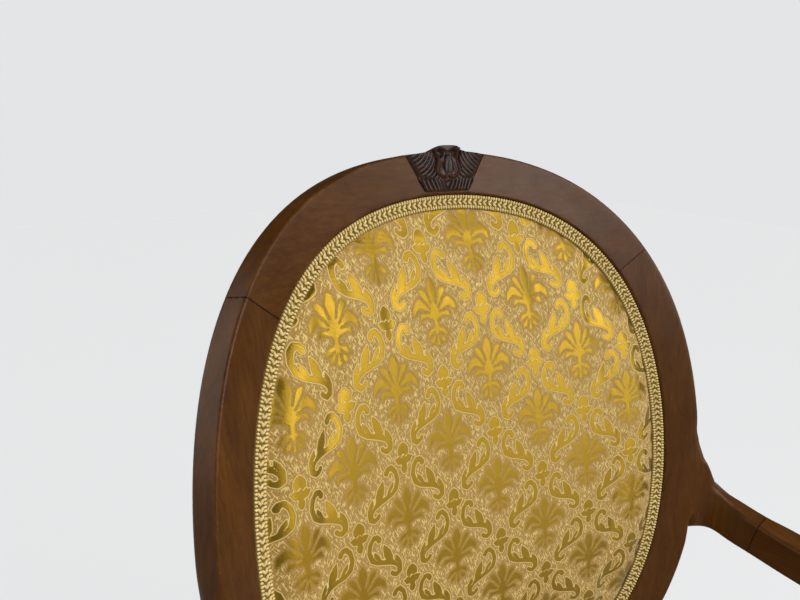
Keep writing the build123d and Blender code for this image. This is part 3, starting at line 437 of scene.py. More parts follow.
def carve(side, level):
    """Along, up and out, in mm, and the paleness of worn ridges, for a place on the carved face."""
    reach = 40 * side
    bud_cap = 4.4 * np.exp(-(np.abs(reach) / 14.5) ** 5)
    top = 272.2 - 0.00218 * reach**2 + bud_cap
    share = np.clip(level, 0, 1)
    up = carving_bottom + share * (top - carving_bottom)
    half = 22 + 18 * (up - carving_bottom) / (carving_shoulder - carving_bottom)
    half = np.minimum(half, 40.5)
    along = side * half
    x = np.abs(along)
    feather = np.abs(np.sin(pi * np.hypot(x - 39, up - 279) / 3.4)) ** 0.5
    across = np.clip((x - 12) / np.maximum(half - 12, 1), 0, 1)
    wing = 0.3 + 2.2 * np.sin(pi * (0.2 + 0.8 * across)) ** 0.6 + 1.2 * feather
    scallop = np.clip((1 - np.abs(side)) * half / (1.4 + 2.0 * feather), 0, 1)
    wing = wing * scallop**0.5 - 0.8 * (1 - scallop)
    leaf_rib = np.abs(np.sin((x - 0.45 * (up - 240)) * 0.85)) ** 0.6
    leaf = 0.2 + 2.0 * np.exp(-(((x - 10.5) / 7.5) ** 2)) + 1.2 * leaf_rib
    leaf = leaf * np.clip((up - carving_bottom) / 2.0, 0, 1)
    low = 1 / (1 + np.exp((up - 248.0 - 0.12 * x) / 0.6))
    height = wing * (1 - low) + leaf * low
    petal = np.interp(up, [251, 255, 257, 264.5, 270, 276], [9.5, 11.6, 11.8, 9.0, 10.6, 13.8])
    mouth = np.interp(x, [0, 5, 11.5, 16], [252.7, 251.0, 254.6, 262])
    lip = np.exp(-(((x - petal) / 0.9) ** 2)) * np.clip((up - mouth + 1) / 2, 0, 1)
    lower_lip = np.exp(-(((up - mouth) / 0.9) ** 2)) * np.clip((13 - x) / 2, 0, 1)
    cap_edge = 271.6 + 0.30 * x
    cap = 1 / (1 + np.exp(-(up - cap_edge) / 0.4)) * np.clip((15 - x) / 1.5, 0, 1)
    hollow = np.exp(-(((x - 7.5) / 3.2) ** 2) - ((up - 270.5) / 2.6) ** 2)
    core = np.clip(1 - (along / 5.5) ** 2 - ((up - 261) / 8.5) ** 2, 0, 1) ** 0.5
    folds = np.abs(np.sin(np.arctan2(up - 275, along) * 8)) ** 0.7
    inside = 1 / (1 + np.exp((x - petal - 1.2) / 0.5)) / (1 + np.exp((mouth - 1 - up) / 0.5))
    rose = 3.2 + 1.4 * lip + 1.6 * lower_lip + 1.6 * cap - 3.0 * hollow + 1.6 * core + 0.9 * folds * (1 - cap)
    height = height * (1 - inside) + rose * inside
    groove = np.exp(-(((x - petal - 2.2) / 1.0) ** 2)) * np.clip((up - mouth + 2) / 3, 0, 1)
    height = height - 1.6 * groove
    over = np.clip(level - 1, 0, 1)
    ring_top = 272.0 - 0.00218 * reach**2
    height = height * (1 - over) - 11 * over
    up = up * (1 - over**2) + (ring_top - 0.3) * over**2
    rim = np.exp(-(((1 - np.abs(side)) * half - 2.6) ** 2) / 1.2) * feather**3
    pale = np.clip(0.8 * (lip + lower_lip) * inside + 0.5 * rim * (1 - low), 0, 1)
    return along, up, height, pale


side = np.tile(np.linspace(-1, 1, carving_columns), carving_rows + carving_cap_rows)
cap_level = 1 + np.arange(1, carving_cap_rows + 1) / carving_cap_rows
level = np.concatenate([np.linspace(0, 1, carving_rows), cap_level])
along, up, out, pale = carve(side, np.repeat(level, carving_columns))
carving.data.vertices.foreach_set("co", on_back(along / 1000, up / 1000, out / 1000).ravel())
ridge_values = carving.data.attributes.new("ridge", "FLOAT", "POINT")
ridge_values.data.foreach_set("value", pale)
bpy.ops.object.mode_set(mode="EDIT")
bpy.ops.mesh.select_all(action="DESELECT")
bpy.ops.mesh.select_non_manifold()
into_rail = Vector((0, cos(back_lean), -sin(back_lean))) * 0.0045
bpy.ops.mesh.extrude_region_move(TRANSFORM_OT_translate={"value": into_rail})
bpy.ops.mesh.edge_face_add()
bpy.ops.mesh.select_all(action="SELECT")
bpy.ops.mesh.normals_make_consistent(inside=False)
bpy.ops.object.mode_set(mode="OBJECT")
bpy.ops.object.shade_smooth_by_angle(angle=radians(50))
carving.data.materials.append(carved)
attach(carving, "chair_frame")
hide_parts("crest_carving")


# Webbing, hessian and twine: jute, woven or laid, tacked to the frame under the stuffing.
# Jute is a dull brown with a coarse open weave of threads about 2 mm apart.
jute, tree, shader = start_material("jute_weave", {"Roughness": 0.9, "Sheen Weight": 0.2})
place = add_node(tree, "ShaderNodeTexCoord", {}, {}).outputs["Object"]
weft = add_node(tree, "ShaderNodeTexWave", {"Scale": 157, "bands_direction": "X"}, {"Vector": place})
warp = add_node(tree, "ShaderNodeTexWave", {"Scale": 157, "bands_direction": "Y"}, {"Vector": place})
weave = add_node(
    tree, "ShaderNodeMath", {"operation": "MULTIPLY"}, {0: weft.outputs["Fac"], 1: warp.outputs["Fac"]}
)
shade = colour_ramp(tree, weave.outputs[0], [(0.0, "#5E4A2E"), (0.6, "#9A7D52")])
tree.links.new(shade, shader.inputs["Base Color"])
relief = add_node(tree, "ShaderNodeBump", {"Strength": 0.5, "Distance": 0.0008}, {"Height": weave.outputs[0]})
tree.links.new(relief.outputs[0], shader.inputs["Normal"])
for node in ("seat_webbing", "back_webbing", "back_hessian"):
    finish_copy(node, jute)
finish_copy("seat_hessian", jute, sinking=(0.400, 0.413))
finish_copy("spring_lashing", jute, sinking=(0.391, 0.405))


# Seat springs: coppered steel wire, wound as hourglass coils, sewn to the webbing and lashed at the top.
finish_copy("seat_springs", steel, sinking=(0.343, 0.406))


# Back stuffing: curled fibre sewn into shape, with cotton felt over it.
# It is off-white and matted, and no part of it shows on the finished chair.
fibre, tree, shader = start_material("fibre_stuffing", {"Roughness": 0.95, "Sheen Weight": 0.3})
place = add_node(tree, "ShaderNodeTexCoord", {}, {}).outputs["Object"]
matting = add_node(
    tree, "ShaderNodeTexNoise", {"Scale": 260, "Detail": 6, "Distortion": 1.5}, {"Vector": place}
)
shade = colour_ramp(tree, matting.outputs["Fac"], [(0.3, "#B5A88E"), (0.7, "#E2DACA")])
tree.links.new(shade, shader.inputs["Base Color"])
relief = add_node(
    tree, "ShaderNodeBump", {"Strength": 0.6, "Distance": 0.001}, {"Height": matting.outputs["Fac"]}
)
tree.links.new(relief.outputs[0], shader.inputs["Normal"])
finish_copy("back_stuffing", fibre)


# Back cover: satin damask over the stuffed pad, drawn tight and tacked to the ledge inside the surround.
# Satin plumes, scrolls and trefoils shine where they face the light and go dark bronze where they do not.
# The ground is a duller champagne weave with short pale threads, and a pale thread outlines each scroll.
pattern_width = 0.100
pattern_height = 0.0963


def stroke_distance(x, y, strokes):
    """Distance, in mm, outside a set of tapered strokes. Each stroke is a row of points and half widths."""
    nearest = np.full(x.shape, 99.0)
    for stroke in strokes:
        for (x0, y0, r0), (x1, y1, r1) in zip(stroke, stroke[1:]):
            span = (x1 - x0) ** 2 + (y1 - y0) ** 2
            share = np.clip(((x - x0) * (x1 - x0) + (y - y0) * (y1 - y0)) / span, 0, 1)
            gap = np.hypot(x - x0 - share * (x1 - x0), y - y0 - share * (y1 - y0))
            nearest = np.minimum(nearest, gap - r0 - share * (r1 - r0))
    return nearest


plume = [
    [(0, -9, 2.2), (0, -2, 5.5), (0, 6, 6.5), (0, 13, 5.0), (0, 17.6, 3.4), (0, 21.6, 0.4)],
    [(3, 2, 3.6), (7, 8.6, 3.6), (10.8, 12.2, 2.8), (13.4, 13.6, 0.8)],
    [(4, -1, 3.4), (9.5, 3.6, 3.8), (15, 4.4, 3.8), (19.6, 1.4, 2.8), (22.2, -3.6, 0.8)],
    [(2, -5, 3.0), (8, -3, 2.8), (12.4, -3.6, 2.6), (15.6, -7, 0.8)],
    [(0, -9, 2.2), (0, -13, 2.4), (0, -18, 4.4), (0, -23, 3.6), (0, -27.6, 0.4)],
    [(1, -16, 3.0), (6.6, -17, 3.0), (11.4, -19.6, 0.6)],
    [(1, -18, 3.0), (5.4, -21.6, 2.9), (8.0, -24.4, 0.6)],
]
plume_veins = [
    [(6.4, 14, 0.5), (2.6, 4, 0.1)], [(12.4, 8.8, 0.5), (4.4, 0.5, 0.1)], [(16, -0.6, 0.5), (5.4, -2.4, 0.1)],
    [(7.4, -20, 0.5), (2.6, -17, 0.1)], [(3.2, -26, 0.5), (1.4, -19, 0.1)],
]
scroll = [
    [
        (18.7, 36.4, 2.4), (17.2, 38.9, 1.8), (13.6, 39.3, 1.9), (9.8, 35.4, 1.9), (8.2, 29, 1.9),
        (10.4, 22.6, 2.0), (16, 19.2, 1.8), (22.4, 17.2, 1.7), (29, 15.4, 1.8), (34.4, 13.4, 2.2),
        (37.8, 10, 2.4), (37.6, 6, 2.3), (34.2, 3.8, 1.8), (30.8, 5, 1.5), (29.6, 6.4, 1.8),
    ],
    [(17.4, 19.6, 2.4), (15.4, 23.6, 2.2), (13.0, 28.2, 0.3)],
    [(30, 15.6, 1.6), (28.2, 19.4, 3.2), (26.2, 23.6, 3.6), (24.4, 27.6, 2.2), (22.8, 31.4, 0.3)],
    [(37.8, 12.0, 2.3), (36, 16, 1.9), (34.2, 20, 0.3)],
]
trefoil = [
    [(0, -42.6, 0.5), (0, -45, 3.6), (0, -47.6, 5.5), (0, -49.2, 5.2)],
    [(0, -53.8, 3.2), (4.6, -54, 2.8), (8.2, -52.8, 0.8)],
    [(0, -58, 2.0), (0, -60.6, 3.1), (0, -62.6, 1.8), (0, -64.2, 0.3)],
]
slits = [
    [(20, 20, 0.25), (18.6, 28, 0.25)], [(12.4, 24.6, 0.25), (16, 20.6, 0.25)],
    [(31.6, 17.6, 0.25), (35.6, 12.6, 0.25)],
    [(0, -49.8, 0.3), (2.4, -51.8, 0.3), (5, -50.4, 0.3), (7.4, -51.4, 0.3)],
]


def keep_damask(piece, columns, rows):
    """Stores each point's distance, in mm, to the plumes, the outlined figures and the slits inside them.
    Columns and rows are counted in repeats of the pattern. Every second row is moved by half a repeat."""
    figures = {
        "plume_gap": plume, "vein_gap": plume_veins, "figure_gap": scroll + trefoil, "slit_gap": slits,
    }
    for name, strokes in figures.items():
        nearest = np.full(columns.shape, 99.0)
        for shift in (0, 0.5):
            x = np.abs((columns - shift + 0.5) % 1 - 0.5) * pattern_width * 1000
            for lift in (-1, 0, 1):
                y = ((rows - shift + 0.5) % 1 - 0.5 + lift) * pattern_height * 1000
                nearest = np.minimum(nearest, stroke_distance(x, y, strokes))
        keep_values(piece, name, nearest)


def damask():
    """Silk and cotton damask. Its threads are 0.4 mm apart, drawn 0.9 mm apart so that they show."""
    material, tree, shader = start_material(
        "silk_damask", {"Sheen Weight": 0.25, "Sheen Roughness": 0.4, "Specular IOR Level": 0.4}
    )

    def field(name):
        return add_node(tree, "ShaderNodeAttribute", {"attribute_name": name}, {}).outputs["Fac"]

    def fade(socket, start, end):
        return add_node(
            tree, "ShaderNodeMapRange", {"From Min": start, "From Max": end}, {"Value": socket}
        ).outputs["Result"]

    def join(operation, first, second):
        return add_node(tree, "ShaderNodeMath", {"operation": operation}, {0: first, 1: second}).outputs[0]

    cloth = add_node(
        tree, "ShaderNodeCombineXYZ", {}, {"X": field("cloth_along"), "Y": field("cloth_up")}
    ).outputs[0]
    crisp = field("figure_gap")
    soft = field("plume_gap")
    feathered = join("MULTIPLY", fade(soft, 1.1, -1.1), fade(field("vein_gap"), -0.3, 1.3))
    satin = join("MAXIMUM", fade(crisp, 0.35, -0.15), feathered)
    outline = join("MULTIPLY", fade(crisp, 1.0, 0.7), fade(crisp, 0.1, 0.4))
    outline = join("MAXIMUM", outline, fade(field("slit_gap"), 0.3, 0.0))

    def short_threads(angle, across, along):
        turned = add_node(
            tree, "ShaderNodeMapping",
            {"vector_type": "TEXTURE", "Rotation": (0, 0, angle), "Scale": (across, along, 1)},
            {"Vector": cloth},
        )
        return add_node(
            tree, "ShaderNodeTexNoise", {"Scale": 1, "Detail": 1, "noise_dimensions": "2D"},
            {"Vector": turned.outputs[0]},
        ).outputs["Fac"]

    strokes = join(
        "MAXIMUM", fade(short_threads(0.5, 0.0011, 0.0055), 0.58, 0.68),
        fade(short_threads(-0.5, 0.0012, 0.0050), 0.59, 0.69),
    )
    clear = join("MULTIPLY", fade(crisp, 1.2, 2.0), fade(soft, 0.8, 2.5))
    strokes = join("MULTIPLY", strokes, clear)
    pale = join("MAXIMUM", outline, strokes)
    mottled = add_node(
        tree, "ShaderNodeTexNoise", {"Scale": 900, "Detail": 3, "noise_dimensions": "2D"}, {"Vector": cloth}
    ).outputs["Fac"]
    ground = colour_ramp(tree, mottled, [(0.3, "#9A7634"), (0.7, "#BC964C")])
    colour = add_node(
        tree, "ShaderNodeMix", {"data_type": "RGBA", "B": linear("#A88626")}, {"Factor": satin, "A": ground}
    ).outputs[2]
    colour = add_node(
        tree, "ShaderNodeMix", {"data_type": "RGBA", "B": linear("#E2C67A")}, {"Factor": pale, "A": colour}
    ).outputs[2]
    tree.links.new(colour, shader.inputs["Base Color"])
    gleam = add_node(
        tree, "ShaderNodeMapRange", {"To Min": 0.05, "To Max": 0.90}, {"Value": satin}
    ).outputs["Result"]
    dull = join("SUBTRACT", gleam, join("MULTIPLY", pale, satin))
    tree.links.new(dull, shader.inputs["Metallic"])
    rough = add_node(
        tree, "ShaderNodeMapRange", {"To Min": 0.62, "To Max": 0.40}, {"Value": satin}
    ).outputs["Result"]
    tree.links.new(rough, shader.inputs["Roughness"])
    weft = add_node(
        tree, "ShaderNodeTexWave", {"Scale": 350, "bands_direction": "Y", "Distortion": 1.5, "Detail": 1},
        {"Vector": cloth},
    ).outputs["Fac"]
    threads = join("MULTIPLY", weft, fade(satin, 1.3, 0.0))
    raised = join("ADD", threads, join("MULTIPLY", pale, fade(pale, -2, 0)))
    raised = join("ADD", raised, join("MULTIPLY", satin, fade(satin, -1, 1)))
    relief = add_node(tree, "ShaderNodeBump", {"Strength": 0.35, "Distance": 0.0006}, {"Height": raised})
    tree.links.new(relief.outputs[0], shader.inputs["Normal"])
    return material


def disc_grid(name, columns, rows):
    """Flat grid whose square is rounded to a disc. Returns its object, and each point's share and angle."""
    bpy.ops.object.select_all(action="DESELECT")
    bpy.ops.mesh.primitive_grid_add(x_subdivisions=columns, y_subdivisions=rows, size=2)
    piece = bpy.context.object
    piece.name = name
    flat = np.empty(len(piece.data.vertices) * 3)
    piece.data.vertices.foreach_get("co", flat)
    x, y = flat.reshape(-1, 3)[:, 0], flat.reshape(-1, 3)[:, 1]
    round_x = x * np.sqrt(1 - y**2 / 2)
    round_y = y * np.sqrt(1 - x**2 / 2)
    return piece, np.hypot(round_x, round_y), np.arctan2(round_y, round_x)


def keep_values(piece, name, values):
    """Stores one number for each point of a mesh, for its material."""
    attribute = piece.data.attributes.get(name) or piece.data.attributes.new(name, "FLOAT", "POINT")
    attribute.data.foreach_set("value", values)


def stored_values(piece, name):
    values = np.empty(len(piece.data.vertices))
    piece.data.attributes[name].data.foreach_get("value", values)
    return values


def plump(piece, pinned, pressure, cap):
    """Swells a closed pad by cloth pressure. Pinned points stay, and no point moves further than cap."""
    rest = np.empty(len(piece.data.vertices) * 3)
    piece.data.vertices.foreach_get("co", rest)
    group = piece.vertex_groups.new(name="tacked")
    group.add([int(index) for index in np.flatnonzero(pinned)], 1.0, "REPLACE")
    cloth = piece.modifiers.new("swell", "CLOTH")
    cloth.settings.quality = 6
    cloth.settings.mass = 0.25
    cloth.settings.use_pressure = True
    cloth.settings.uniform_pressure_force = pressure
    cloth.settings.vertex_group_mass = "tacked"
    cloth.settings.effector_weights.gravity = 0
    cloth.settings.tension_stiffness = 40
    cloth.settings.compression_stiffness = 40
    cloth.settings.bending_stiffness = 4
    cloth.collision_settings.use_collision = False
    for number in range(1, 21):
        bpy.context.scene.frame_set(number)
    shaped = piece.evaluated_get(bpy.context.evaluated_depsgraph_get()).to_mesh()
    moved = np.empty(len(shaped.vertices) * 3)
    shaped.vertices.foreach_get("co", moved)
    piece.evaluated_get(bpy.context.evaluated_depsgraph_get()).to_mesh_clear()
    bpy.context.scene.frame_set(1)
    piece.modifiers.remove(cloth)
    piece.vertex_groups.remove(group)
    step = (moved - rest).reshape(-1, 3)
    length = np.linalg.norm(step, axis=1, keepdims=True)
    step *= np.minimum(1, cap / np.maximum(length, 1e-9))
    piece.data.vertices.foreach_set("co", rest + step.ravel())


def smooth_twice(piece):
    """Finishes a pad with two rounds of subdivision, which also spread its stored numbers."""
    bpy.context.view_layer.objects.active = piece
    rounds = piece.modifiers.new("fine", "SUBSURF")
    rounds.levels = 2
    rounds.render_levels = 2
    bpy.ops.object.modifier_apply(modifier="fine")
    bpy.ops.object.select_all(action="DESELECT")
    piece.select_set(True)
    bpy.ops.object.shade_smooth()


def second_layer(piece, points):
    """Closes a sheet into a pad with a layer of the given points behind it."""
    bpy.context.view_layer.objects.active = piece
    piece.modifiers.new("layer", "SOLIDIFY").thickness = 0.001
    bpy.ops.object.modifier_apply(modifier="layer")
    placed = np.empty(len(piece.data.vertices) * 3)
    piece.data.vertices.foreach_get("co", placed)
    placed = placed.reshape(-1, 3)
    placed[-len(points):] = points
    piece.data.vertices.foreach_set("co", placed.ravel())
    bpy.ops.object.mode_set(mode="EDIT")
    bpy.ops.mesh.select_all(action="SELECT")
    bpy.ops.mesh.normals_make_consistent(inside=False)
    bpy.ops.object.mode_set(mode="OBJECT")


back_crown = 0.024
crown_inset = 0.0478
rim_inset = 0.0375
cover_face = -0.0030
crown_share = 0.95
back_pad, share, angle = disc_grid("back_cover_pad", 80, 84)
within = np.clip(share / crown_share, 0, 1)
border = np.clip((share - crown_share) / (1 - crown_share), 0, 1)
edge_along, edge_up = oval(angle, crown_inset - (crown_inset - rim_inset) * border)
along = edge_along * within
up = edge_up * within
firm_edge = np.sqrt(np.clip((1 - within) / 0.06, 0, 1)) * np.clip((within - 0.78) / 0.14, 0, 1) ** 1.5
out = cover_face + back_crown * (1 - within**2) * (1 + 0.5 * within**2) + 0.0055 * firm_edge
back_pad.data.vertices.foreach_set("co", on_back(along, up, out).ravel())
keep_values(back_pad, "cloth_along", along)
keep_values(back_pad, "cloth_up", up)
second_layer(back_pad, on_back(along, up, np.full(len(share), cover_face - 0.0016)))
plump(back_pad, np.concatenate([border > 0, border >= 0]), 4.0, 0.004)
smooth_twice(back_pad)
columns = stored_values(back_pad, "cloth_along") / 0.1
rows = stored_values(back_pad, "cloth_up") / 0.1
keep_damask(
    back_pad, -0.147 + 1.0016 * columns - 0.0199 * columns**2, -1.94 + 1.0393 * rows - 0.0432 * rows**2
)
silk_damask = damask()
back_pad.data.materials.append(silk_damask)
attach(back_pad, "chair_frame")
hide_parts("back_cover")


# Back braid: a flat furnishing gimp of plaited cotton, glued over the tacked edge of the cover.
# A plaited row of chevrons runs along its middle, between two rows of short cross stitches.
# The strands are pale gold and shiny. The ground tape between them is the same cotton, coloured a darker gold
# as painted shade for the shadow in the gaps and at the braid's edges.
cotton, tree, shader = start_material("cotton_gimp", {"Roughness": 0.7, "Sheen Weight": 0.3})
place = add_node(tree, "ShaderNodeTexCoord", {}, {}).outputs["Object"]
twist = add_node(tree, "ShaderNodeTexNoise", {"Scale": 420, "Detail": 3}, {"Vector": place})
shade = colour_ramp(tree, twist.outputs["Fac"], [(0.25, "#B89A48"), (0.5, "#E2C67A"), (0.75, "#F4E2A0")])
tree.links.new(shade, shader.inputs["Base Color"])
relief = add_node(
    tree, "ShaderNodeBump", {"Strength": 0.5, "Distance": 0.0005}, {"Height": twist.outputs["Fac"]}
)
tree.links.new(relief.outputs[0], shader.inputs["Normal"])
# Painted shade: the ground tape's darker gold stands for the shadow between the strands, not for a darker
# cord.
braid_painted_shade, tree, shader = start_material(
    "cotton_gimp_painted_shade", {"Base Color": linear("#7A6228"), "Roughness": 0.85}
)
braid_width = 0.012
braid_pitch = 0.0052


def braid(name, path, closed, turned):
    """Braid along a flat path. One repeat is modelled, arrayed and bent to the path, flat or turned up."""
    steps = np.diff(np.vstack([path, path[:1]]) if closed else path, axis=0)
    length = float(np.hypot(steps[:, 0], steps[:, 1]).sum())
    repeats = round(length / braid_pitch)
    pitch = length / repeats
    bpy.ops.object.select_all(action="DESELECT")
    strands = []
    strand_rows = [
        (0.5, -0.0015, 0.0025, 0.00105, 0.0012, 0.62), (0.5, 0.0009, 0.0025, 0.00105, 0.0012, -0.62),
        (0.25, -0.0044, 0.0017, 0.00100, 0.0010, 1.42), (0.75, -0.0044, 0.0017, 0.00100, 0.0010, 1.42),
        (0.25, 0.0038, 0.0017, 0.00100, 0.0010, -1.42), (0.75, 0.0038, 0.0017, 0.00100, 0.0010, -1.42),
    ]
    for forward, across, half_length, half_width, half_height, slant in strand_rows:
        bpy.ops.mesh.primitive_uv_sphere_add(
            segments=8, ring_count=6, location=(forward * pitch, across, 0.0009), rotation=(0, 0, slant),
            scale=(half_length, half_width, half_height),
        )
        bpy.context.object.data.materials.append(cotton)
        strands.append(bpy.context.object)
    bpy.ops.mesh.primitive_grid_add(
        x_subdivisions=1, y_subdivisions=6, size=1, location=(pitch / 2, 0, 0.0003)
    )
    tape = bpy.context.object
    # The tape takes the painted shade colour, which shows in the gaps between strands and as a dark line at
    # the edges.
    tape.data.materials.append(braid_painted_shade)
    tape.scale = (pitch, braid_width, 1)
    for strand in strands:
        strand.select_set(True)
    bpy.context.view_layer.objects.active = tape
    bpy.ops.object.join()
    piece = bpy.context.object
    piece.name = name
    bpy.ops.object.transform_apply(location=True, rotation=True, scale=True)
    if turned:
        bpy.ops.transform.rotate(value=-pi / 2, orient_axis="X", center_override=(0, 0, 0))
        bpy.ops.object.transform_apply(location=True, rotation=True, scale=True)
    line = bpy.data.curves.new(name + "_path", "CURVE")
    line.dimensions = "3D"
    line.twist_mode = "Z_UP"
    spline = line.splines.new("POLY")
    spline.points.add(len(path) - 1)
    for point, (x, y) in zip(spline.points, path):
        point.co = (x, y, 0, 1)
    spline.use_cyclic_u = closed
    guide = bpy.data.objects.new(name + "_path", line)
    bpy.context.collection.objects.link(guide)
    row = piece.modifiers.new("row", "ARRAY")
    row.count = repeats
    row.use_relative_offset = False
    row.use_constant_offset = True
    row.constant_offset_displace = (pitch, 0, 0)
    follow = piece.modifiers.new("follow", "CURVE")
    follow.object = guide
    bpy.ops.object.modifier_apply(modifier="row")
    bpy.ops.object.modifier_apply(modifier="follow")
    bpy.data.objects.remove(guide)
    bpy.ops.object.shade_smooth()
    return piece


def place_on_back(piece, lift, facing):
    """Bends a flat piece to the back: lift is the height of its underside, facing is 1 for front."""
    flat = np.empty(len(piece.data.vertices) * 3)
    piece.data.vertices.foreach_get("co", flat)
    flat = flat.reshape(-1, 3)
    placed = on_back(flat[:, 0], flat[:, 1], lift + facing * flat[:, 2])
    piece.data.vertices.foreach_set("co", placed.ravel())


braid_angles = np.linspace(-pi / 2, 3 * pi / 2, 361)[:-1]
braid_line = np.stack(oval(braid_angles, 0.0415), axis=-1)
back_braid = braid("back_gimp_braid", braid_line, True, False)
place_on_back(back_braid, -0.0021, 1)
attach(back_braid, "chair_frame")
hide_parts("back_gimp")


# Outside back: one flat piece of the same damask, drawn over the back of the frame.
# It is tacked on the rear ledge, under a second length of braid.
outside_face = -0.0225
outside_cover, share, angle = disc_grid("outside_back_cloth", 60, 62)
edge_along, edge_up = oval(angle, 0.0365)
along = edge_along * share
up = edge_up * share
outside_cover.data.vertices.foreach_set("co", on_back(along, up, outside_face + 0 * share).ravel())
keep_values(outside_cover, "cloth_along", along)
keep_values(outside_cover, "cloth_up", up)
smooth_twice(outside_cover)
bpy.ops.object.mode_set(mode="EDIT")
bpy.ops.mesh.select_all(action="SELECT")
bpy.ops.mesh.flip_normals()
bpy.ops.object.mode_set(mode="OBJECT")
columns = stored_values(outside_cover, "cloth_along") / pattern_width
rows = stored_values(outside_cover, "cloth_up") / pattern_height
keep_damask(outside_cover, columns, rows)
outside_cover.data.materials.append(silk_damask)
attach(outside_cover, "chair_frame")
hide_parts("outside_back_cover")
outside_braid = braid("outside_back_gimp_braid", braid_line, True, False)
place_on_back(outside_braid, -0.0229, -1)
bpy.ops.object.mode_set(mode="EDIT")
bpy.ops.mesh.select_all(action="SELECT")
bpy.ops.mesh.flip_normals()
bpy.ops.object.mode_set(mode="OBJECT")
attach(outside_braid, "chair_frame")
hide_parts("outside_back_gimp")


# Seat cover: the same damask over wadding and springs, tacked on the rebate of the rails.
# It crowns in the middle, rolls over a firm edge and is cut round the rear legs.
# The stuffing, edge roll and wadding lie under it.
seat_front_corner = (0.277, -0.285)
seat_rear_corner = (0.204, 0.175)
seat_bow = 0.022
seat_middle = (0.0, -0.060)
seat_notch = (0.158, 0.131)
cover_inset = 0.0027
cover_edge = 0.3785
cover_shoulder = 0.3925
seat_crown_top = 0.456
seat_crown_run = 0.170


def seat_outline(inset):
    """Right half of the seat's outline from the middle of the front to the middle of the rear."""
    front_x, front_y = seat_front_corner
    rear_x, rear_y = seat_rear_corner
    slant = np.array([rear_x - front_x, rear_y - front_y])
    inward = np.array([-slant[1], slant[0]]) / np.hypot(*slant)
    front = np.array([front_x, front_y]) + inset * (inward + np.array([0, 1.08]))
    rear = np.array([rear_x, rear_y]) + inset * (inward + np.array([0, -1]))
    bow_x = np.linspace(0, front[0], 24)
    bow = np.stack([bow_x, front[1] - seat_bow * (1 - (bow_x / front[0]) ** 2)], axis=-1)
    side = front + (rear - front) * np.linspace(0, 1, 24)[1:, None]
    back = np.stack([np.linspace(rear[0], 0, 12)[1:], np.full(11, rear[1])], axis=-1)
    return np.vstack([bow, side, back])


def round_corner(line, corner, radius):
    """Replaces the points of a line near a corner by a curve."""
    keep = np.hypot(*(line - corner).T) > radius
    first = np.flatnonzero(~keep)[0]
    before = line[:first][-1]
    after = line[first:][keep[first:]][0]
    share = np.linspace(0, 1, 9)[1:-1, None]
    arc = before * (1 - share) ** 2 + 2 * corner * share * (1 - share) + after * share**2
    return np.vstack([line[:first], arc, line[first:][keep[first:]]])


def notched(line):
    """Cuts the corner for the rear leg out of the outline."""
    keep = (line[:, 0] < seat_notch[0]) | (line[:, 1] < seat_notch[1])
    first = np.flatnonzero(~keep)[0]
    entry = np.array([line[first - 1][0], seat_notch[1]])
    leave = np.array([seat_notch[0], line[-1][1]])
    corner = np.array(seat_notch)
    share = np.linspace(0, 1, 12)[:, None]
    step = np.vstack([entry + (corner - entry) * share, corner + (leave - corner) * share[1:]])
    return np.vstack([line[:first], step, line[first:][keep[first:]]])


right_line = seat_outline(cover_inset)
right_line = round_corner(right_line, right_line[23], 0.016)
right_line = round_corner(notched(right_line), np.array(seat_notch), 0.012)
whole_line = np.vstack([right_line, (right_line * [-1, 1])[::-1][1:-1]])
line_angle = np.arctan2(whole_line[:, 1] - seat_middle[1], whole_line[:, 0] - seat_middle[0])
line_reach = np.hypot(whole_line[:, 0] - seat_middle[0], whole_line[:, 1] - seat_middle[1])
order = np.argsort(line_angle)
seat_pad, share, angle = disc_grid("seat_cover_pad", 80, 76)
within = np.clip(share / crown_share, 0, 1)
border = np.clip((share - crown_share) / (1 - crown_share), 0, 1)
reach = np.interp(angle, line_angle[order], line_reach[order], period=2 * pi)
x = seat_middle[0] + within * reach * np.cos(angle)
y = seat_middle[1] + within * reach * np.sin(angle)
quarter = np.linspace(0, pi / 2, 40)
crown_gap = seat_crown_run * (1 - np.cos(quarter) ** 0.7) ** 1.5
crown_rise = np.sin(quarter) ** 0.8
rise = np.interp((1 - within) * reach, crown_gap, crown_rise)
z = cover_shoulder + (seat_crown_top - cover_shoulder) * rise - (cover_shoulder - cover_edge) * border
seat_pad.data.vertices.foreach_set("co", np.stack([x, y, z], axis=-1).ravel())


def press_under(piece):
    """Draws a layer of the seat in under its cover, in width and in height."""
    places = np.empty(len(piece.data.vertices) * 3)
    piece.data.vertices.foreach_get("co", places)
    places = places.reshape(-1, 3)
    drawn_in = 0.955
    clearance = 0.006
    aside = (places[:, :2] - seat_middle) * drawn_in
    bearing = np.arctan2(aside[:, 1], aside[:, 0])
    edge_reach = np.interp(bearing, line_angle[order], line_reach[order], period=2 * pi)
    edge_gap = np.clip(edge_reach - np.hypot(aside[:, 0], aside[:, 1]), 0, None)
    ceiling = cover_shoulder + (seat_crown_top - cover_shoulder) * np.interp(edge_gap, crown_gap, crown_rise)
    foot = places[:, 2].min()
    tall = places[:, 2].max() - foot
    places[:, :2] = aside + seat_middle
    places[:, 2] = foot + (places[:, 2] - foot) * np.clip((ceiling - clearance - foot) / tall, 0.1, 1)
    piece.data.vertices.foreach_set("co", places.ravel())


finish_copy("seat_stuffing", fibre, press=press_under)
for node in ("seat_edge_roll", "seat_wadding"):
    finish_copy(node, fibre, sinking=(0.385, 0.455), press=press_under)

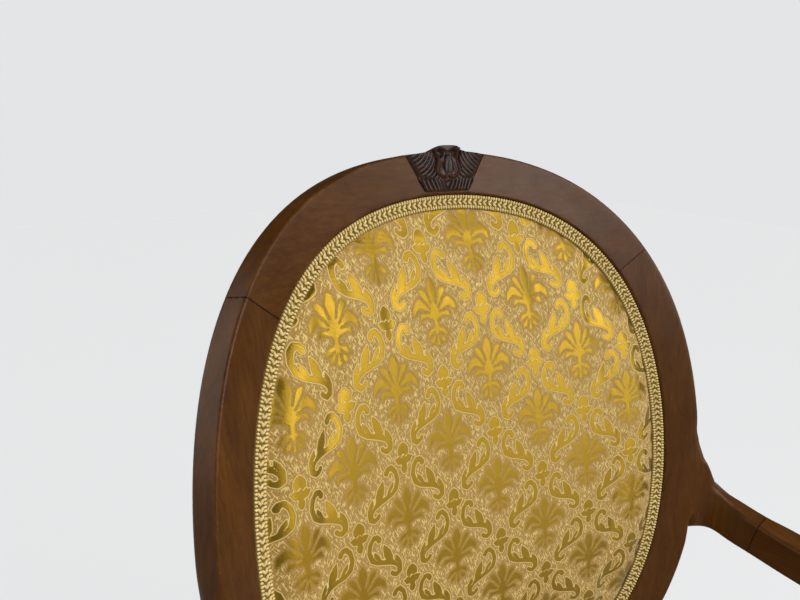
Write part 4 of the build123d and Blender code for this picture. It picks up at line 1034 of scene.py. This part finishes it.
gap_steps = np.diff(crown_gap)
rise_steps = np.diff(crown_rise) * (seat_crown_top - cover_shoulder)
extra = np.append(np.cumsum((np.hypot(gap_steps, rise_steps) - gap_steps)[::-1])[::-1], 0)
cloth_reach = within * reach + np.interp((1 - within) * reach, crown_gap, extra)
cloth_reach = cloth_reach + (cover_shoulder - cover_edge) * border
keep_values(seat_pad, "cloth_along", cloth_reach * np.cos(angle))
keep_values(seat_pad, "cloth_up", cloth_reach * np.sin(angle))
cloth_thickness = 0.0016
upright = border > 0
under_x = x - cloth_thickness * upright * np.cos(angle)
under_y = y - cloth_thickness * upright * np.sin(angle)
second_layer(seat_pad, np.stack([under_x, under_y, z - cloth_thickness * ~upright], axis=-1))
plump(seat_pad, np.concatenate([within > 0.985, within >= 0]), 4.0, 0.006)
smooth_twice(seat_pad)
columns = stored_values(seat_pad, "cloth_along") / pattern_width
rows = stored_values(seat_pad, "cloth_up") / pattern_height
keep_damask(seat_pad, columns, rows)
seat_pad.data.materials.append(silk_damask)
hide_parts("seat_cover")
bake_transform(seat_pad)


# Seat braid: the same gimp, glued along the lower edge of the seat cover above the polished rails.
# One length runs round the front from leg to leg, and a short one closes the rear.
front_line = seat_outline(0.0003)
front_line = round_corner(front_line, front_line[23], 0.016)
side_part = front_line[front_line[:, 1] < seat_notch[1]]
front_path = np.vstack([(side_part * [-1, 1])[::-1], side_part[1:]])
seat_braid = braid("seat_gimp_braid", front_path, False, True)
rear_half = seat_notch[0] - 0.001
rear_path = np.array([[rear_half, seat_rear_corner[1] - 0.0003], [-rear_half, seat_rear_corner[1] - 0.0003]])
rear_braid = braid("seat_gimp_braid_rear", rear_path, False, True)
for piece in (seat_braid, rear_braid):
    bpy.ops.object.select_all(action="DESELECT")
    piece.select_set(True)
    bpy.context.view_layer.objects.active = piece
    piece.location = (0, 0, cover_edge + braid_width / 2)
    bpy.ops.object.transform_apply(location=True, rotation=True, scale=True)
    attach(piece, "chair_frame")
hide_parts("seat_gimp")


# Dust cover: black cotton cambric, turned in at the edges and tacked under the seat rails.
# It is thin and plain, with threads about 0.5 mm apart, drawn 1 mm apart so that they show.
cambric, tree, shader = start_material("black_cambric", {"Roughness": 0.85, "Sheen Weight": 0.15})
place = add_node(tree, "ShaderNodeTexCoord", {}, {}).outputs["Object"]
weft = add_node(tree, "ShaderNodeTexWave", {"Scale": 314, "bands_direction": "X"}, {"Vector": place})
warp = add_node(tree, "ShaderNodeTexWave", {"Scale": 314, "bands_direction": "Y"}, {"Vector": place})
weave = add_node(
    tree, "ShaderNodeMath", {"operation": "MULTIPLY"}, {0: weft.outputs["Fac"], 1: warp.outputs["Fac"]}
)
shade = colour_ramp(tree, weave.outputs[0], [(0.0, "#0E0E10"), (0.7, "#26262A")])
tree.links.new(shade, shader.inputs["Base Color"])
relief = add_node(tree, "ShaderNodeBump", {"Strength": 0.3, "Distance": 0.0004}, {"Height": weave.outputs[0]})
tree.links.new(relief.outputs[0], shader.inputs["Normal"])
finish_copy("dust_cover", cambric)


# Studio: a plain pale floor, a pale surround and one large soft lamp in front and to the right.
# The camera stands where the photographer stood, in front of the chair and to its left.
paper, tree, shader = start_material(
    "pale_paper", {"Base Color": linear("#A6A8A9"), "Roughness": 0.9, "Emission Color": linear("#FFFFFF")}
)
eye = add_node(tree, "ShaderNodeLightPath", {}, {})
lift = add_node(tree, "ShaderNodeMath", {"operation": "MULTIPLY", 1: 0.42}, {0: eye.outputs["Is Camera Ray"]})
tree.links.new(lift.outputs[0], shader.inputs["Emission Strength"])
bpy.ops.object.select_all(action="DESELECT")
bpy.ops.mesh.primitive_plane_add(size=14, location=(0, 0, -0.0005))
floor = bpy.context.object
floor.name = "floor"
floor.data.materials.append(paper)

world = bpy.data.worlds.new("pale_room")
bpy.context.scene.world = world
world.use_nodes = True
tree = world.node_tree
room = tree.nodes["Background"]
direction = add_node(tree, "ShaderNodeTexCoord", {}, {}).outputs["Generated"]
towards_window = add_node(
    tree, "ShaderNodeVectorMath", {"operation": "DOT_PRODUCT", 1: Vector((0.58, -0.66, 0.48))}, {0: direction}
)
towards_pane = add_node(
    tree, "ShaderNodeVectorMath", {"operation": "DOT_PRODUCT", 1: Vector((0.36, -0.89, 0.28))}, {0: direction}
)
towards_door = add_node(
    tree, "ShaderNodeVectorMath", {"operation": "DOT_PRODUCT", 1: Vector((-0.93, 0.35, 0.10))}, {0: direction}
)
eye = add_node(tree, "ShaderNodeLightPath", {}, {})
daylight = add_node(
    tree, "ShaderNodeMapRange",
    {"interpolation_type": "SMOOTHSTEP", "From Min": 0.0, "From Max": 0.95, "To Min": 0.55, "To Max": 1.5},
    {"Value": towards_window.outputs["Value"]},
)
pane = add_node(
    tree, "ShaderNodeMapRange",
    {"interpolation_type": "SMOOTHSTEP", "From Min": 0.91, "From Max": 0.985, "To Min": 0.02, "To Max": 4.2},
    {"Value": towards_pane.outputs["Value"]},
)
door = add_node(
    tree, "ShaderNodeMapRange",
    {"interpolation_type": "SMOOTHSTEP", "From Min": 0.6, "From Max": 0.95, "To Min": 0.0, "To Max": 1.8},
    {"Value": towards_door.outputs["Value"]},
)
gleam = add_node(tree, "ShaderNodeMath", {}, {0: pane.outputs["Result"], 1: door.outputs["Result"]})
brightness = add_node(
    tree, "ShaderNodeMix", {},
    {"Factor": eye.outputs["Is Glossy Ray"], "A": daylight.outputs["Result"], "B": gleam.outputs[0]},
)
tree.links.new(brightness.outputs["Result"], room.inputs["Strength"])
room.inputs["Color"].default_value = linear("#FFFFFF")
wall = add_node(tree, "ShaderNodeBackground", {"Color": linear("#E3E5E6"), "Strength": 1.0}, {})
choice = add_node(
    tree, "ShaderNodeMixShader", {}, {0: eye.outputs["Is Camera Ray"], 1: room.outputs[0], 2: wall.outputs[0]}
)
tree.links.new(choice.outputs[0], tree.nodes["World Output"].inputs["Surface"])

aim = Vector((0, 0.22, 0.85))
lamp_data = bpy.data.lights.new("window_lamp", "AREA")
lamp_data.shape = "RECTANGLE"
lamp_data.size = 1.8
lamp_data.size_y = 1.3
lamp_data.energy = 9
lamp = bpy.data.objects.new("window_lamp", lamp_data)
lamp.location = (1.25, -1.25, 1.75)
lamp.rotation_euler = (aim - lamp.location).to_track_quat("-Z", "Y").to_euler()
bpy.context.collection.objects.link(lamp)

heading = radians(34.03)
pitch = radians(14.21)
roll = radians(1.35)
ahead = Vector((sin(heading) * cos(pitch), cos(heading) * cos(pitch), -sin(pitch)))
level_right = Vector((cos(heading), -sin(heading), 0))
level_up = level_right.cross(ahead)
right = level_right * cos(roll) + level_up * sin(roll)
upward = level_up * cos(roll) - level_right * sin(roll)
camera_data = bpy.data.cameras.new("photo_camera")
camera_data.lens = 33.75
camera_data.sensor_width = 36
camera_data.clip_start = 0.02
camera = bpy.data.objects.new("photo_camera", camera_data)
camera.matrix_world = Matrix.Translation((-0.379, -0.2179, 1.045)) @ Matrix(
    (right, upward, -ahead)
).transposed().to_4x4()
bpy.context.collection.objects.link(camera)
bpy.context.scene.camera = camera
bpy.context.scene.view_settings.view_transform = "Standard"
